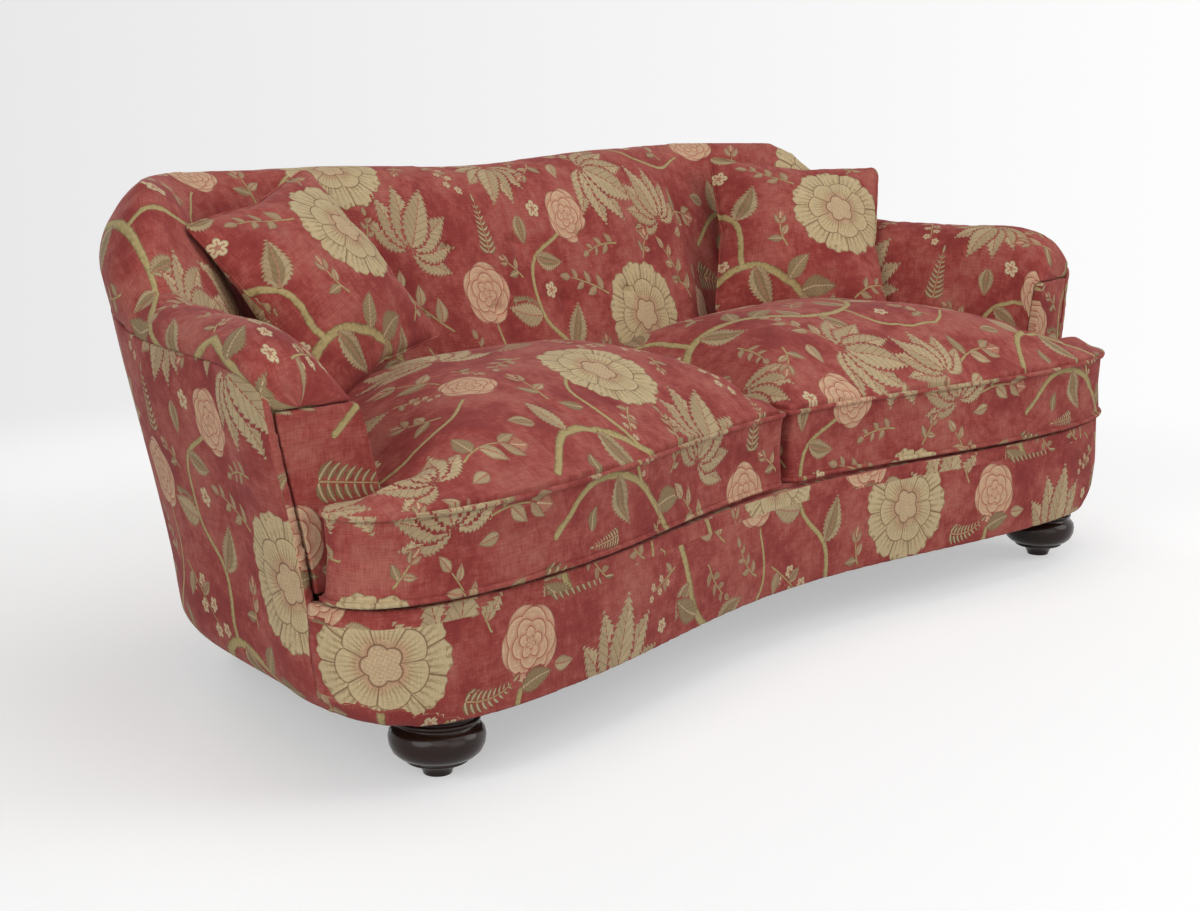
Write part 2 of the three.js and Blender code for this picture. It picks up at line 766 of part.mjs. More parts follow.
const outsideBackShares = backShares.filter((share) => Math.abs(share) <= outsideBackShare);
piece('outside_back', sweepThrough(tubPlace, 1, outsideBackShares, outsidePanel), deepFabric);
const outsideArmShares = [
  outsideBackShare + lengthShare(gap),
  ...backShares.filter((share) => share > outsideBackShare),
  ...armShares,
];
pair((hand, side) => {
  piece(`${hand}_outside_arm`, sweepThrough(tubPlace, side, outsideArmShares, outsidePanel), fabric);
});

// Inside back: a pad that hooks over the crest rail, drawn in by blind tufts

function tuftSpots() {
  const spots = [];
  tuftHeights.forEach((height, row) => {
    for (let k = -tuftReach; k <= tuftReach; k++) {
      const along = (k + (row % 2) * half) * tuftPitch;
      if (Math.abs(along) < tubHalfLength * cornerEndShare) {
        spots.push({ along, height });
      }
    }
  });
  return spots;
}

const tufts = tuftSpots();

function tuftDip(along, height) {
  let dip = 0;
  for (const tuft of tufts) {
    const away = Math.hypot(along - tuft.along, height - tuft.height) / tuftRadius;
    dip = Math.max(dip, tuftDepth * Math.exp(-away * away));
  }
  return dip;
}

const backRows = 15;

function insideBackOutline(share, signedShare) {
  const wall = wallAt(share);
  const face = upperCurve(wall).getPoints(backRows).map((p) => {
    const dip = p.x < wall.lipOut ? tuftDip(signedShare * tubHalfLength, p.y) : 0;
    return flatPoint(p.x + dip, p.y);
  });
  const padBack = Math.min(wall.deckOut + wall.padThickness, railInner - gap);
  const notchBottom = crestBottom(wall) - gap;
  return [
    ...face,
    flatPoint(padBack, deckTop + gap),
    flatPoint(wall.notchIn, notchBottom),
    flatPoint(wall.notchIn, wall.notchTop),
    flatPoint(wall.notchOut, wall.notchTop),
    flatPoint(wall.notchOut, wall.seamHeight + gap),
  ];
}

piece('inside_back', sweepThrough(tubPlace, 1, backShares, insideBackOutline), fabric);

// Arms: a roll on the arm board with a domed front, an inside pad and a front panel

const rollPoints = 13;
const domeNarrowing = 0.1;

function rollOutline(share) {
  const wall = wallAt(share);
  const base = armBoardHeight + gap;
  const dome = domeAt(share);
  const seam = seamAt(share) + gap;
  const onRoll = (p) => p.y > base && (p.x < wall.lipOut || p.y > wall.seamHeight);
  const line = new THREE.CatmullRomCurve3([
    ...upperCurve(wall).getPoints(upperFine).filter(onRoll),
    new THREE.Vector3(insideAt(wall, base), base, 0),
  ]);
  const middle = (wall.seamOut + wall.lipOut) * half;
  const narrow = 1 - domeNarrowing * (1 - dome);
  const over = line.getSpacedPoints(rollPoints).map((p) => (
    flatPoint(mix(middle, p.x, narrow), base + (p.y - base) * dome)));
  over[0].set(outsideAt(wall, seam), seam);
  const under = insidePanelAt(wall, armBoardHeight) - gap;
  return [...over, flatPoint(under, base), flatPoint(Math.min(under, insidePanelAt(wall, seam) - gap), seam)];
}

const insideRows = 6;

function insideArmOutline(share) {
  const wall = wallAt(share);
  const top = armBoardTop;
  const outline = [];
  for (let k = 0; k <= insideRows; k++) {
    const height = mix(deckTop + gap, top, k / insideRows);
    outline.push(flatPoint(insideAt(wall, height), height));
  }
  outline.push(flatPoint(Math.min(armBoardInner - gap, insideAt(wall, top) + wall.padThickness), top));
  outline.push(flatPoint(wall.deckOut + wall.padThickness, deckTop + gap));
  return outline;
}

function frontPanelOutline() {
  const wall = wallAt(1);
  const heights = evenly(deckTop + gap, armBoardTop, insideRows);
  return [
    ...heights.map((height) => flatPoint(insideAt(wall, height), height)),
    ...backwards(heights).map((height) => flatPoint(insidePanelAt(wall, height) - armBoardClear, height)),
  ];
}

pair((hand, side) => {
  piece(`${hand}_arm_roll`, sweepThrough(tubPlace, side, armShares, rollOutline), fabric);
  piece(`${hand}_inside_arm`, tubSweep(side, armJoint, armPanelEndShare, armStops, insideArmOutline), fabric);
  piece(`${hand}_arm_front`, tubSweep(side, armPanelBackShare, 1, 1, frontPanelOutline), fabric);
});

// Seat cushions: an L each, making a T together, with a crown, drawn-in boxing and two welts

const earArcSteps = 4;
const cushionSideShares = [
  cushionFrontEndShare,
  ...backwards(armShares.filter((share) => share < domeStartShare)),
  ...backwards(backShares.filter((share) => share >= 0)),
];

// Drops points that lie too close together and evens out the rest
function eased(points) {
  const last = points.length - 1;
  const apart = points.filter((p, k) => k === 0 || k === last || p.distanceTo(points[k - 1]) > leastStitch);
  return apart.map((p, k) => {
    if (k === 0 || k === apart.length - 1) {
      return p;
    }
    return p.clone().lerp(apart[k - 1].clone().lerp(apart[k + 1], half), half);
  });
}

function cushionOutline(side) {
  const front = frontHalf(0, cushionSweepDepth, cushionHalfWidth, cushionEndY, 8, 7);
  front[0].x = cushionMeet * half;
  const armFront = tubPlace(1, 1);
  const forward = flatPoint(armFront.out.y, -armFront.out.x).multiplyScalar(weltReach + clearOfFabric);
  const sideOut = (share) => wallAt(share).deckOut - weltReach - clearOfFabric;
  const notch = offsetFrom(armFront, sideOut(1)).add(forward);
  const earX = cushionHalfWidth - earBackRadius;
  const earBackY = notch.y + ((earX - notch.x) * armFront.out.y) / armFront.out.x;
  const outline = [...front];
  for (let k = 1; k <= earArcSteps; k++) {
    const turn = (Math.PI * half * k) / earArcSteps;
    const earY = earBackY - earBackRadius * (1 - Math.sin(turn));
    outline.push(flatPoint(earX + earBackRadius * Math.cos(turn), earY));
  }
  outline.push(notch, ...eased(planLine(tubPlace, cushionSideShares, sideOut)));
  outline[outline.length - 1].x = cushionMeet * half;
  const placed = outline.map((p) => flatPoint(p.x * side, p.y));
  return side > 0 ? placed : backwards(placed);
}

// Moves an outline inwards by a small amount, corner by corner
function inset(outline, amount) {
  return outline.map((p, k) => {
    const before = outline[(k + outline.length - 1) % outline.length];
    const after = outline[(k + 1) % outline.length];
    const first = p.clone().sub(before).normalize();
    const second = after.clone().sub(p).normalize();
    const normal = flatPoint(-(first.y + second.y), first.x + second.x);
    const length = normal.length();
    const reach = amount / Math.max(half, length * half);
    return p.clone().add(normal.multiplyScalar(reach / length));
  });
}

function distanceTo(outline, x, y) {
  let best = Infinity;
  for (let k = 0; k < outline.length; k++) {
    const a = outline[k];
    const b = outline[(k + 1) % outline.length];
    const run = b.clone().sub(a);
    const t = THREE.MathUtils.clamp(((x - a.x) * run.x + (y - a.y) * run.y) / run.lengthSq(), 0, 1);
    best = Math.min(best, Math.hypot(a.x + run.x * t - x, a.y + run.y * t - y));
  }
  return best;
}

function inside(outline, x, y) {
  let within = false;
  for (let k = 0, j = outline.length - 1; k < outline.length; j = k++) {
    const a = outline[k];
    const b = outline[j];
    if ((a.y > y) !== (b.y > y) && x < ((b.x - a.x) * (y - a.y)) / (b.y - a.y) + a.x) {
      within = !within;
    }
  }
  return within;
}

function crownAt(outline, x, y) {
  if (!inside(outline, x, y)) {
    return cushionTopWelt;
  }
  const reach = Math.min(distanceTo(outline, x, y) / crownReach, 1);
  const fromPeak = (Math.abs(x) - crownPeakX) / cushionHalfWidth;
  const fullness = 1 - crownFallShare * fromPeak * fromPeak;
  return cushionTopWelt + cushionCrown * fullness * (1 - Math.pow(1 - reach, crownPower));
}

// Where a scatter pillow rests, the seat gives and stays just under the pillow
function dentAt(restPoints, x, y) {
  return restPoints.reduce((least, p) => {
    const away = Math.max(Math.hypot(p.x - x, p.y - y) - dentReach, 0);
    return Math.min(least, p.z - dentClearance + away * dentSlope);
  }, Infinity);
}

function cushionGeometry(side) {
  const outline = cushionOutline(side);
  const levels = [
    [cushionBottomWelt - weltRadius, cushionSoleInset], [cushionBottomWelt, 0],
    [mix(cushionBottomWelt, cushionTopWelt, half), cushionDrawIn], [cushionTopWelt, 0],
    [cushionTopWelt + cushionCrown + overrun, 0],
  ];
  const rings = levels.map(([height, amount]) => inset(outline, amount).map((p) => liftTo(p, height)));
  const column = solidFrom(loft(rings, levels.map(([, amount]) => inset(outline, amount))));
  const restPoints = pillowRestPoints(side);
  const bounds = new THREE.Box2().setFromPoints(outline).expandByScalar(overrun);
  const top = [];
  const floor = [];
  for (let r = 0; r <= cushionRows; r++) {
    for (let c = 0; c <= cushionColumns; c++) {
      const x = mix(bounds.min.x, bounds.max.x, c / cushionColumns);
      const y = mix(bounds.min.y, bounds.max.y, r / cushionRows);
      top.push(new THREE.Vector3(x, y, Math.min(crownAt(outline, x, y), dentAt(restPoints, x, y))));
      floor.push(new THREE.Vector3(x, y, 0));
    }
  }
  const triangles = [];
  const wide = cushionColumns + 1;
  const lower = top.length;
  for (let r = 0; r < cushionRows; r++) {
    for (let c = 0; c < cushionColumns; c++) {
      const a = r * wide + c;
      const corners = [a, a + 1, a + wide + 1, a + wide];
      pushQuad(triangles, corners);
      pushQuad(triangles, corners.map((k) => lower + k).reverse());
    }
  }
  const rim = [];
  for (let c = 0; c < cushionColumns; c++) {
    rim.push(c);
  }
  for (let r = 0; r < cushionRows; r++) {
    rim.push(r * wide + cushionColumns);
  }
  for (let c = cushionColumns; c > 0; c--) {
    rim.push(cushionRows * wide + c);
  }
  for (let r = cushionRows; r > 0; r--) {
    rim.push(r * wide);
  }
  rim.forEach((a, k) => {
    const b = rim[(k + 1) % rim.length];
    triangles.push(a, lower + b, b, a, lower + a, lower + b);
  });
  const field = solidFrom(bodyFrom([...top, ...floor], triangles));
  return geometryFrom(column.intersect(field));
}

// Piping: a cord that follows an outline from corner to corner
const weltLook = material(weltRed, 0.85);
const weltCurveSegments = 2;

class CornerPath extends THREE.Curve {
  constructor(points) {
    super();
    this.points = points;
  }

  getPoint(part) {
    const place = part * (this.points.length - 1);
    const k = Math.min(Math.floor(place + Number.EPSILON), this.points.length - 2);
    return this.points[k].clone().lerp(this.points[k + 1], place - k);
  }

  getPointAt(part) {
    return this.getPoint(part);
  }

  getTangentAt(part) {
    const k = Math.round(part * (this.points.length - 1));
    const before = this.points[Math.max(k - 1, 0)];
    const after = this.points[Math.min(k + 1, this.points.length - 1)];
    return after.clone().sub(before).normalize();
  }
}

// Cuts sharp corners of a closed outline, so that a cord can turn them
function softened(outline, reach) {
  return outline.flatMap((p, k) => {
    const before = outline[(k + outline.length - 1) % outline.length].clone().sub(p);
    const after = outline[(k + 1) % outline.length].clone().sub(p);
    if (Math.abs(before.clone().normalize().cross(after.clone().normalize())) < half) {
      return [p];
    }
    return [before, after].map((way) => {
      const cut = Math.min(reach / way.length(), half * half);
      return p.clone().add(way.multiplyScalar(cut));
    });
  });
}

function cordGeometry(ring, radius, lift) {
  const points = ring.map(lift);
  const first = points[0];
  const last = points[points.length - 1];
  points.push(first.clone().lerp(last, (gap * 2) / first.distanceTo(last)));
  const round = new THREE.Shape();
  round.absarc(0, 0, radius, 0, Math.PI * 2, false);
  return new THREE.ExtrudeGeometry(round, {
    extrudePath: new CornerPath(points),
    steps: points.length - 1,
    curveSegments: weltCurveSegments,
    bevelEnabled: false,
  });
}

// An outline turned round so that it starts in the middle of its straight centre line
function weltGeometry(outline, height) {
  const ring = softened(inset(outline, -weltRadius - gap), weltRadius * half);
  const startAt = ring[0].clone().lerp(ring[ring.length - 1], half);
  return cordGeometry([startAt, ...ring], weltRadius, (p) => liftTo(p, height));
}

pair((hand, side) => {
  const outline = cushionOutline(side);
  piece(`${hand}_seat_cushion`, cushionGeometry(side), fabric);
  piece(`${hand}_seat_top_welt`, weltGeometry(outline, cushionTopWelt), weltLook);
  piece(`${hand}_seat_bottom_welt`, weltGeometry(outline, cushionBottomWelt), weltLook);
});

// Scatter pillows: two crowned faces that meet in a drawn-in seam with a thin cord round it

function pillowTurn(side) {
  const place = side < 0 ? leftPillow : rightPillow;
  const angles = [-place.lean, place.roll, place.turn].map(THREE.MathUtils.degToRad);
  const middle = new THREE.Vector3(side * (baseHalfWidth - place.fromEnd), tubDepth - place.fromBack,
    cushionTopWelt + place.overSeat);
  return { middle, turn: new THREE.Euler(...angles, 'ZXY') };
}

function pillowStops() {
  return evenly(-1, 1, pillowCells).map((part) => Math.sin(part * Math.PI * half));
}

// Points all over a pillow and its cord, where they stand on the sofa
function pillowRestPoints(side) {
  const { middle, turn } = pillowTurn(side);
  const cordSize = 1 + ((pillowWeltRadius * 2 + gap) * 2) / pillowSide;
  return pillowStops().flatMap((v) => pillowStops().flatMap((u) => [-1, 1].map((face) => (
    pillowPoint(u, v, face).multiplyScalar(cordSize).applyEuler(turn).add(middle)
  ))));
}

function pillowPoint(u, v, face) {
  const reach = pillowSide * half;
  const swell = Math.pow(Math.max(0, (1 - u * u) * (1 - v * v)), pillowFullness);
  return new THREE.Vector3(u * (reach - pillowDrawIn * (1 - v * v)), face * pillowThickness * half * swell,
    v * (reach - pillowDrawIn * (1 - u * u)));
}

function pillowGeometry() {
  const stops = pillowStops();
  const wide = pillowCells + 1;
  const vertices = [];
  const front = [];
  const back = [];
  stops.forEach((v, row) => stops.forEach((u, column) => {
    front.push(vertices.push(pillowPoint(u, v, -1)) - 1);
    const onRim = row % pillowCells === 0 || column % pillowCells === 0;
    back.push(onRim ? vertices.length - 1 : vertices.push(pillowPoint(u, v, 1)) - 1);
  }));
  const triangles = [];
  for (const [spots, turned] of [[front, false], [back, true]]) {
    for (let row = 0; row < pillowCells; row++) {
      for (let column = 0; column < pillowCells; column++) {
        const a = row * wide + column;
        const corners = [spots[a], spots[a + 1], spots[a + wide + 1], spots[a + wide]];
        pushQuad(triangles, turned ? corners.reverse() : corners);
      }
    }
  }
  return bodyFrom(vertices, triangles);
}

function pillowRim() {
  const corners = [[-1, -1], [1, -1], [1, 1], [-1, 1]];
  return corners.flatMap(([u, v], k) => {
    const [nextU, nextV] = corners[(k + 1) % corners.length];
    return evenly(0, 1, pillowRimSteps).slice(0, -1).map((part) => {
      const spot = pillowPoint(mix(u, nextU, part), mix(v, nextV, part), 0);
      return flatPoint(spot.x, spot.z);
    });
  });
}

function pillowWeltGeometry() {
  const rim = pillowRim();
  const middleOfSide = pillowRimSteps * half;
  const turned = [...rim.slice(middleOfSide), ...rim.slice(0, middleOfSide)];
  const ring = softened(inset(turned, -pillowWeltRadius - gap), pillowWeltRadius * half);
  return cordGeometry(ring, pillowWeltRadius, (p) => new THREE.Vector3(p.x, 0, p.y));
}

pair((hand, side) => {
  const { middle: spot, turn } = pillowTurn(side);
  for (const mesh of [
    piece(`${hand}_pillow`, pillowGeometry(), fabric),
    piece(`${hand}_pillow_welt`, pillowWeltGeometry(), weltLook),
  ]) {
    mesh.position.copy(spot);
    mesh.rotation.copy(turn);
  }
});

// Shift the whole so that the origin is on the floor under the middle of its bounding box
sofa.updateMatrixWorld(true);
const bounds = new THREE.Box3().setFromObject(sofa);
const middle = bounds.getCenter(new THREE.Vector3());
const group = new THREE.Group();
sofa.position.set(-middle.x, -middle.y, 0);
group.add(sofa);

export default group;
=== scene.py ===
import bpy
import bmesh
import json
import math
import random
import numpy as np
from mathutils import Vector, Matrix, kdtree


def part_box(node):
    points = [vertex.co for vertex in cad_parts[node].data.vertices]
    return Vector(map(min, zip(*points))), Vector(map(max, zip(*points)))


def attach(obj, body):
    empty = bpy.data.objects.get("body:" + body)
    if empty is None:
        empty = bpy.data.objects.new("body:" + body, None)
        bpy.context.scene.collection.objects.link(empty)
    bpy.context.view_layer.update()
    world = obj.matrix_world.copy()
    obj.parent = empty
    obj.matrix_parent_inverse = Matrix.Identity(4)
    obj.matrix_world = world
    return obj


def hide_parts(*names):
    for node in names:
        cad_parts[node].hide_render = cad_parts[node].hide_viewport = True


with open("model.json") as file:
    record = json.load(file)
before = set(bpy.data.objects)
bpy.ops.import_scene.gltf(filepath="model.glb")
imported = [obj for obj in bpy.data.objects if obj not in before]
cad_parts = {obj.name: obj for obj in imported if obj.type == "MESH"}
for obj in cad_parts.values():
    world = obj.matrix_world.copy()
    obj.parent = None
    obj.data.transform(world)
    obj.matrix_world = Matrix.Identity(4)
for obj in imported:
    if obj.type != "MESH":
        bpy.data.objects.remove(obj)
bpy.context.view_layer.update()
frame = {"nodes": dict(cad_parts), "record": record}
nodes = frame["nodes"]
scene = bpy.context.scene
hands = (("left", -1), ("right", 1))
bandRise = 0.2      # the cloth's own height, in metres, of a band's point on the floor
weld = 2e-5
tiny = 1e-6

# Camera, at the photograph's place and angle
camera = {"place": (-2.9381, -2.539, 1.0835), "yaw": 0.8478, "pitch": 0.2, "lens": 61.3}
lens = bpy.data.cameras.new("camera")
lens.lens = camera["lens"]
lens.sensor_width = 36
lens.clip_end = 60
eye = bpy.data.objects.new("camera", lens)
eye.location = camera["place"]
eye.rotation_euler = (math.pi / 2 - camera["pitch"], 0, -camera["yaw"])
scene.collection.objects.link(eye)
scene.camera = eye
scene.view_settings.view_transform = "Standard"


def addNode(tree, kind, inputs=None, **settings):
    node = tree.nodes.new(kind)
    for name, value in settings.items():
        setattr(node, name, value)
    for socket, value in (inputs or {}).items():
        if isinstance(value, bpy.types.NodeSocket):
            tree.links.new(value, node.inputs[socket])
        else:
            node.inputs[socket].default_value = value
    return node


def linearColor(text):
    channels = [int(text[k:k + 2], 16) / 255 for k in (1, 3, 5)]
    return tuple(c / 12.92 if c <= 0.04045 else ((c + 0.055) / 1.055) ** 2.4 for c in channels) + (1,)


def newMaterial(name, settings):
    look = bpy.data.materials.new(name)
    look.use_nodes = True
    tree = look.node_tree
    tree.nodes.clear()
    output = addNode(tree, "ShaderNodeOutputMaterial")
    shader = addNode(tree, "ShaderNodeBsdfPrincipled")
    tree.links.new(shader.outputs["BSDF"], output.inputs["Surface"])
    for socket, value in settings.items():
        shader.inputs[socket].default_value = value
    return look, tree, shader


# A material whose colour runs between two along a grain; the scale is per metre each way
def grained(name, settings, colors, scale, detail):
    look, tree, shader = newMaterial(name, settings)
    spot = addNode(tree, "ShaderNodeTexCoord").outputs["Object"]
    grid = addNode(tree, "ShaderNodeMapping", {"Vector": spot, "Scale": scale}).outputs[0]
    grain = addNode(tree, "ShaderNodeTexNoise", {"Vector": grid, "Scale": 1, "Detail": detail}).outputs["Fac"]
    first, second = (linearColor(color) for color in colors)
    color = addNode(tree, "ShaderNodeMix", {0: grain, 6: first, 7: second}, data_type="RGBA")
    tree.links.new(color.outputs[2], shader.inputs["Base Color"])
    return look, tree, shader, grain


def meshObject(name, mesh):
    piece = bpy.data.objects.new(name, mesh)
    scene.collection.objects.link(piece)
    return piece


def shade(mesh, smooth=True):
    mesh.polygons.foreach_set("use_smooth", [smooth] * len(mesh.polygons))


def objectFromBmesh(name, shape, smooth=True):
    bmesh.ops.recalc_face_normals(shape, faces=shape.faces)
    mesh = bpy.data.meshes.new(name)
    shape.to_mesh(mesh)
    shape.free()
    shade(mesh, smooth)
    return meshObject(name, mesh)


# The frame's solids of these nodes, joined and welded
def shapeOfNodes(names):
    shape = bmesh.new()
    for name in names:
        shape.from_mesh(nodes[name].data)
    bmesh.ops.remove_doubles(shape, verts=shape.verts, dist=weld)
    return shape


def finalMesh(piece):
    bpy.context.view_layer.update()
    return bpy.data.meshes.new_from_object(piece.evaluated_get(bpy.context.evaluated_depsgraph_get()))


def applyModifiers(piece):
    done = finalMesh(piece)
    piece.modifiers.clear()
    piece.data = done


def vectorsOf(items, key):
    values = np.zeros(len(items) * 3, np.float32)
    items.foreach_get(key, values)
    return values.reshape(-1, 3)


def vertexPlaces(mesh):
    return vectorsOf(mesh.vertices, "co").astype(float)


def setVertexPlaces(mesh, places):
    mesh.vertices.foreach_set("co", places.astype(np.float32).ravel())
    mesh.update()


def finishPiece(piece, body, look, replaced=()):
    piece.data.materials.clear()
    piece.data.materials.append(look)
    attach(piece, body)
    if replaced:
        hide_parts(*replaced)


def smoothLine(points, samples):
    points = np.array(points, float)
    padded = np.vstack([2 * points[0] - points[1], points, 2 * points[-1] - points[-2]])
    spots = np.linspace(0, len(points) - 1, samples)
    k = np.minimum(spots.astype(int), len(points) - 2)
    t = (spots - k)[:, None]
    a, b, c, d = padded[k], padded[k + 1], padded[k + 2], padded[k + 3]
    curve = (2 * a - 5 * b + 4 * c - d) * t ** 2 + (3 * b - a - 3 * c + d) * t ** 3
    return 0.5 * (2 * b + (c - a) * t + curve)


sharpestBend = 4
atOnce = 20000


# A line seen from above, with how far along it and how far out from it a place lies
def lineFacts(line):
    runs = np.concatenate([[0], np.cumsum(np.linalg.norm(np.diff(line, axis=0), axis=1))])
    heading = np.gradient(line, axis=0)
    heading /= np.maximum(np.linalg.norm(heading, axis=1), tiny)[:, None]
    outward = np.stack([-heading[:, 1], heading[:, 0]], axis=1)
    turn = np.gradient(heading, axis=0)
    bend = -(turn * outward).sum(axis=1) / np.maximum(np.gradient(runs), tiny)
    bend = np.clip(bend, -sharpestBend, sharpestBend)
    return {"line": line, "runs": runs, "heading": heading, "outward": outward, "bend": bend}


def alongLine(facts, places):
    run = np.zeros(len(places))
    out = np.zeros(len(places))
    for first in range(0, len(places), atOnce):
        spots = places[first:first + atOnce, :2]
        away = ((spots[:, None, :] - facts["line"][None]) ** 2).sum(axis=2)
        k = away.argmin(axis=1)
        step = spots - facts["line"][k]
        outHere = (step * facts["outward"][k]).sum(axis=1)
        stretch = np.maximum(1 + outHere * facts["bend"][k], 0.3)
        onward = (step * facts["heading"][k]).sum(axis=1)
        run[first:first + atOnce] = facts["runs"][k] + onward / stretch
        out[first:first + atOnce] = outHere
    return run, out


# The wall: its line at the bottom of the base, and the roll on top that the cloth passes over
wall = {
    "halfWidth": 1.026,
    "depth": 0.775,
    "frontY": -0.3451,
    "shares": [(0, 0.96), (0.244, 0.962), (0.439, 0.988), (0.565, 1), (0.682, 0.951), (0.78, 0.837),
               (0.846, 0.704), (0.882, 0.575), (0.909, 0.458), (0.936, 0.32), (0.963, 0.18), (0.987, 0.084),
               (0.996, 0)],
    "rollOut": [(0, 0.002), (0.3, 0.002), (0.52, 0.05), (0.73, 0.063), (1, 0.063)],
    "rollHeight": [(0, 0.789), (0.26, 0.803), (0.52, 0.77), (0.73, 0.643), (0.93, 0.643), (0.96, 0.632),
                   (0.985, 0.61), (1, 0.572)],
    "rollRadius": 0.07,
    "samples": 500,
}
rightHalf = [(x * wall["halfWidth"], wall["frontY"] + y * wall["depth"]) for x, y in wall["shares"]]
wallFacts = lineFacts(smoothLine([(-x, y) for x, y in rightHalf[:0:-1]] + rightHalf, wall["samples"]))
wallHalf = wallFacts["runs"][-1] / 2


# Cloth coordinates in metres: along the wall, and over the roll from the seat to the outside seam
def overRoll(places):
    run, out = alongLine(wallFacts, places)
    share = np.abs(run - wallHalf) / wallHalf
    rollOut = np.interp(share, *zip(*wall["rollOut"]))
    rollHeight = np.interp(share, *zip(*wall["rollHeight"]))
    radius = wall["rollRadius"]
    side = out - rollOut
    rise = places[:, 2] - rollHeight
    over = radius * np.arctan2(rise, -side)
    below = np.where(side < 0, rise, math.pi * radius - rise)
    return np.stack([run - wallHalf, np.where(rise > 0, over, below)], axis=1)


def downWall(places):
    run, out = alongLine(wallFacts, places)
    return np.stack([wallHalf - run, places[:, 2]], axis=1) + (0.2, 0.1)


# The same on the arms' front ends, seen from the front
def fromFront(places):
    return places[:, [0, 2]] + (0.31, 0.02)


# Outline of a mesh at one height, as an ordered line that starts near a place and sets off towards +X
def outlineAt(mesh, height, start):
    shape = bmesh.new()
    shape.from_mesh(mesh)
    cut = bmesh.ops.bisect_plane(shape, geom=shape.verts[:] + shape.edges[:] + shape.faces[:],
                                 plane_co=(0, 0, height), plane_no=(0, 0, 1))
    edges = dict.fromkeys(e for e in cut["geom_cut"] if isinstance(e, bmesh.types.BMEdge))
    loops = []
    while edges:
        edge, _ = edges.popitem()
        chain = [edge.verts[0], edge.verts[1]]
        growing = True
        while growing:
            growing = False
            for other in chain[-1].link_edges:
                if other in edges:
                    del edges[other]
                    chain.append(other.other_vert(chain[-1]))
                    growing = True
                    break
        loops.append(np.array([v.co[:2] for v in chain]))
    shape.free()
    loop = max(loops, key=lambda points: np.linalg.norm(np.diff(points, axis=0), axis=1).sum())
    if np.linalg.norm(loop[0] - loop[-1]) < tiny:
        loop = loop[:-1]
    first = np.linalg.norm(loop - np.array(start), axis=1).argmin()
    loop = np.roll(loop, -first, axis=0)
    if loop[5, 0] < loop[0, 0]:
        loop = np.roll(loop[::-1], 1, axis=0)
    return loop


def evenLoop(loop, spacing, smoothing=3):
    closed = np.vstack([loop, loop[:1]])
    runs = np.concatenate([[0], np.cumsum(np.linalg.norm(np.diff(closed, axis=0), axis=1))])
    count = int(runs[-1] / spacing)
    spots = np.linspace(0, runs[-1], count, endpoint=False)
    points = np.stack([np.interp(spots, runs, closed[:, k]) for k in (0, 1)], axis=1)
    for _ in range(smoothing):
        points = (np.roll(points, 1, axis=0) + 2 * points + np.roll(points, -1, axis=0)) / 4
    return points


# How far round an outline a place lies, either way from its start, and how far out from it
def runRound(loop, places):
    facts = lineFacts(np.vstack([loop, loop[:1]]))
    run, out = alongLine(facts, places)
    length = facts["runs"][-1]
    return np.where(run > length / 2, run - length, run), out


# Cloth coordinates of an upright band: round its outline and up
def roundBand(loop, places):
    return np.stack([runRound(loop, places)[0], places[:, 2] + bandRise], axis=1)


# Printed cloth: flowers, leaves and stems laid out on one repeat, in metres
cloth = {
    "width": 1.38,
    "height": 0.69,
    "reach": 0.02,
    "inside": 0.001,
    "flowersFirst": 0.003,
    "noStem": 8.0,
    "seed": 7,
    "fills": 60,
}
motifs = []
stems = []
taken = []
leafKind, roseKind, blossomKind, floretKind = range(4)


def wrapped(delta, size):
    return (delta + size / 2) % size - size / 2


def leaf(x, y, angle, length, slim=0.3, tone=0.2, bend=0.0):
    motifs.append((leafKind, x, y, angle, length, length * slim, bend * length, tone))


def flower(kind, x, y, radius, angle=0.0, tone=0.3):
    motifs.append((kind, x, y, angle, radius, radius, 0, tone))
    taken.append((x, y, radius))


# Keeps later sprigs off a long motif; the share is of its length, round its middle
def takeUp(x, y, angle, length, share):
    taken.append((x + math.cos(angle) * length / 2, y + math.sin(angle) * length / 2, length * share))


def stem(points, thick, thin, samples=16):
    line = smoothLine(points, samples)
    stems.append((line, np.linspace(thick, thin, samples)))
    taken.extend((x, y, 0.012) for x, y in line[::3])
    return line


def palmLeaf(x, y, angle, size, tone):
    for k in (-3, 3, -2, 2, -1, 1, 0):
        leaf(x, y, angle + 0.5 * k, size * (1 - 0.08 * abs(k)), 0.235, tone, 0.05 * k / 3)
    takeUp(x, y, angle, size, 0.6)


def curvedLine(x, y, angle, length, turn, steps=6):
    points = [(x, y)]
    for _ in range(steps):
        x += math.cos(angle) * length / steps
        y += math.sin(angle) * length / steps
        angle += turn / steps
        points.append((x, y))
    return points, angle


def twig(x, y, angle, length, turn, tone):
    points, last = curvedLine(x, y, angle, length, turn)
    stem(points, 0.0021, 0.0012)
    for k, (px, py) in enumerate(points[1:-1]):
        way = angle + turn * (k + 1) / 6 + (1 if k % 2 else -1) * 0.85
        leaf(px, py, way, length * 0.3 * (1.15 - 0.08 * k), 0.27, tone, 0.05 if k % 2 else -0.05)
    leaf(*points[-1], last, length * 0.28, 0.3, tone)


def berrySprig(x, y, angle, length, turn, tone):
    points, _ = curvedLine(x, y, angle, length, turn)
    stem(points, 0.0019, 0.001)
    for k, (px, py) in enumerate(points[1:]):
        way = angle + (1 if k % 2 else -1) * 0.9
        reach = length * 0.13
        flower(floretKind, px + math.cos(way) * reach, py + math.sin(way) * reach, length * 0.095, way, tone)
    leaf(points[1][0], points[1][1], angle - 1.2, length * 0.32, 0.3, 0.5)
    leaf(points[3][0], points[3][1], angle + 1.3, length * 0.26, 0.3, 0.3)


